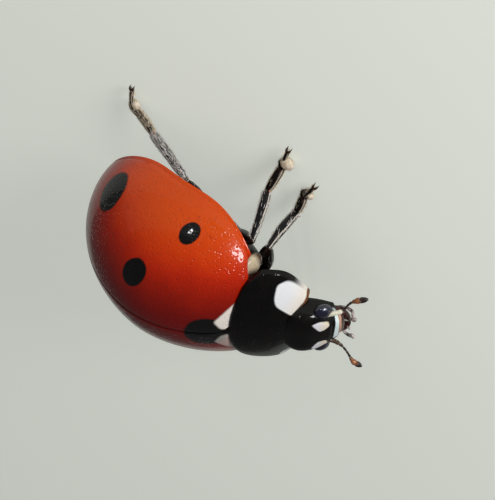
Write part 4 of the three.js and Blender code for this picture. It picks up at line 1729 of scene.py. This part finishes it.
def hair_tree():
    tree, given, result = geometry_tree("Lying hairs", [
        ("Hairs per mm2", "value", 60.0), ("Length mm", "value", 0.12),
        ("Width mm", "value", 0.008), ("Rise", "value", 0.5), ("Curl", "value", 0.3),
        ("Untidiness", "value", 0.25), ("Seed", "whole", 1), ("Paint", "paint", None)])
    density = times(tree, times(tree, given["Hairs per mm2"], 1 / MM**2),
                    named(tree, "coat", "FLOAT"))
    roots = put(tree, "GeometryNodeDistributePointsOnFaces",
                {"Mesh": given["Geometry"], "Density": density, "Seed": given["Seed"]},
                distribute_method="RANDOM").outputs
    jitter = put(tree, "FunctionNodeRandomValue",
                 {"Min": (-1, -1, -1), "Max": (1, 1, 1), "Seed": given["Seed"]},
                 data_type="FLOAT_VECTOR").outputs["Value"]
    lie = named(tree, "lie", "FLOAT_VECTOR")
    lean = calc_vector(tree, "ADD", scaled(tree, roots["Normal"], given["Rise"]), lie)[0]
    aim = calc_vector(tree, "ADD", lean, scaled(tree, jitter, given["Untidiness"]))[0]
    stand = put(tree, "FunctionNodeAlignRotationToVector", {"Vector": aim}, axis="Z")
    turn = put(tree, "FunctionNodeAlignRotationToVector",
               {"Rotation": stand.outputs[0], "Vector": lie}, axis="X", pivot_axis="Z")
    size = put(tree, "FunctionNodeRandomValue",
               {2: HAIR_SIZES[0], 3: HAIR_SIZES[1], "Seed": given["Seed"]}, data_type="FLOAT")
    set_out = put(tree, "GeometryNodeInstanceOnPoints",
                  {"Points": roots["Points"], "Instance": bent_hair(tree, given),
                   "Rotation": turn.outputs[0], "Scale": size.outputs[1]})
    real = put(tree, "GeometryNodeRealizeInstances", (set_out.outputs[0],))
    inside = scaled(tree, named(tree, "patch", "FLOAT_VECTOR"), PATCH)
    spot = calc_vector(tree, "ADD", named(tree, "Skin", "FLOAT_VECTOR"), inside)[0]
    mapped = put(tree, "GeometryNodeStoreNamedAttribute",
                 {"Geometry": real.outputs[0], "Name": "OFBake", "Value": spot},
                 data_type="FLOAT2", domain="CORNER")
    painted = put(tree, "GeometryNodeSetMaterial",
                  {"Geometry": mapped.outputs[0], "Material": given["Paint"]})
    tree.links.new(painted.outputs[0], result["Geometry"])
    return tree


HAIRS = hair_tree()
print("tree:", HAIRS.name)

# %% Grow hairs
TILE_FILL = 0.96  # of a tile of the shared map
LEAST_HEIGHT = 0.003


def joined_skin(name, skins):
    """One mesh of several skins, each with its own tile of the shared map."""
    tiles = math.ceil(math.sqrt(len(skins)))
    shape = bmesh.new()
    layer = shape.loops.layers.uv.new("Skin")
    for index, skin in enumerate(skins):
        done = len(shape.faces)
        shape.from_mesh(skin.data)
        shape.faces.ensure_lookup_table()
        corner = Vector((index % tiles, index // tiles))
        for face in shape.faces[done:]:
            for loop in face.loops:
                loop[layer].uv = (loop[layer].uv * TILE_FILL + corner) / tiles
    mesh = bpy.data.meshes.new(name)
    shape.to_mesh(mesh)
    shape.free()
    return mesh


def read_vectors(items, name):
    values = np.empty(3 * len(items), np.float32)
    items.foreach_get(name, values)
    return values.reshape(-1, 3)


def press_on_floor(mesh):
    """Lays hairs that would pass through the floor flat on it."""
    spots = read_vectors(mesh.vertices, "co")
    spots[:, 2] = np.maximum(spots[:, 2], LEAST_HEIGHT * MM)
    mesh.vertices.foreach_set("co", spots.ravel())


def coat(name, skins, paint, slot, mask, values):
    """Hairs over some skins. The mask says how dense they stand, by place and normal."""
    skin = joined_skin(name + "_skin", skins)
    own = (read_vectors(skin.vertices, "co").astype(float) / MM - SEAT) @ TURN
    share = mask(own, read_vectors(skin.vertex_normals, "vector").astype(float))
    skin.attributes.new("coat", "FLOAT", "POINT").data.foreach_set("value", share)
    mesh = grown(name, skin, HAIRS, {**values, "Paint": paint})
    for spare in ("Skin", "patch", "lie", "coat"):
        if spare in mesh.attributes:
            mesh.attributes.remove(mesh.attributes[spare])
    press_on_floor(mesh)
    settle(name, mesh)
    print("  maps", [m.name for m in mesh.uv_layers])


print("coats can be grown")

# %% Hair finishes


def hair_finish(name, root, tip):
    made, tree, shader, place = finish(name, Specular_IOR_Level=0.5)
    cloud = clouds(tree, place, 12.0, 0.35, 0.65)
    feed(tree, shader, Base_Color=tint(tree, cloud, root, tip),
         Roughness=ramp(tree, cloud, 0, 1, 0.4, 0.55))
    return made


pale_hair = hair_finish("pale_hair", (0.60, 0.55, 0.48), (0.88, 0.86, 0.84))
gold_hair = hair_finish("golden_hair", (0.62, 0.44, 0.26), (0.90, 0.82, 0.66))
print("finishes:", pale_hair.name, gold_hair.name)

# %% Where hairs stand


def all_over(own, _):
    return np.ones(len(own))


def sole(_, normals):
    return np.clip(0.2 - normals[:, 2] * 1.2, 0, 1)


def below(_, normals):
    return np.clip(-normals[:, 2] * 2, 0, 1)


def fringe(own, normals):
    """Two rows along the edges of the front and middle legs, and all over the hind ones."""
    facing = np.abs(normals[:, 0])
    rows = np.clip((facing - 0.66) * 6, 0.03, 1) * np.clip((0.94 - facing) * 8, 0.08, 1)
    return np.where(own[:, 0] > -0.2, rows, 0.45)


# the skins, finish, slot and mask, then hairs per square millimetre, length, width, rise, how
# untidy they lie, and the seed
COATS = {
    "thigh_hairs": (legs["thigh"], pale_hair, "leg", fringe, 160, 0.1, 0.009, 0.35, 0.25, 3),
    "shin_hairs": (legs["shin"], pale_hair, "leg", fringe, 1600, 0.13, 0.012, 0.45, 0.15, 5),
    "foot_hairs": (legs["foot"], gold_hair, "leg", fringe, 1200, 0.1, 0.011, 0.45, 0.15, 7),
    "foot_brushes": (legs["foot"], gold_hair, "leg", sole, 800, 0.09, 0.014, 1.6, 0.25, 9),
    "cushion_hairs": (legs["pads"], gold_hair, "leg", all_over, 700, 0.045, 0.011, 0.5, 0.2, 17),
    "antenna_hairs": (antennae, pale_hair, "antenna", all_over, 120, 0.05, 0.005, 0.6, 0.25, 11),
    "belly_hairs": ([belly, thorax], pale_hair, "underside", below,
                    45, 0.13, 0.008, 0.3, 0.25, 13),
    "shoulder_hairs": (shoulders, pale_hair, "pale_plate", all_over,
                       60, 0.08, 0.007, 0.35, 0.25, 15),
}
HAIR_INPUTS = ("Hairs per mm2", "Length mm", "Width mm", "Rise", "Untidiness", "Seed")
for name, (skins, paint, slot, mask, *sizes) in COATS.items():
    coat(name, skins, paint, slot, mask, dict(zip(HAIR_INPUTS, sizes)))

# %% [markdown]
# ## The size
#
# The finished animal is meant to fill the same box as the imported model, so both boxes are
# printed.

# %% Print both boxes
visual_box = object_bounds()
for label, pair in (("CAD", cad_box), ("visual", visual_box)):
    print(label, "box in mm:", [[round(v / MM, 3) for v in corner] for corner in pair])
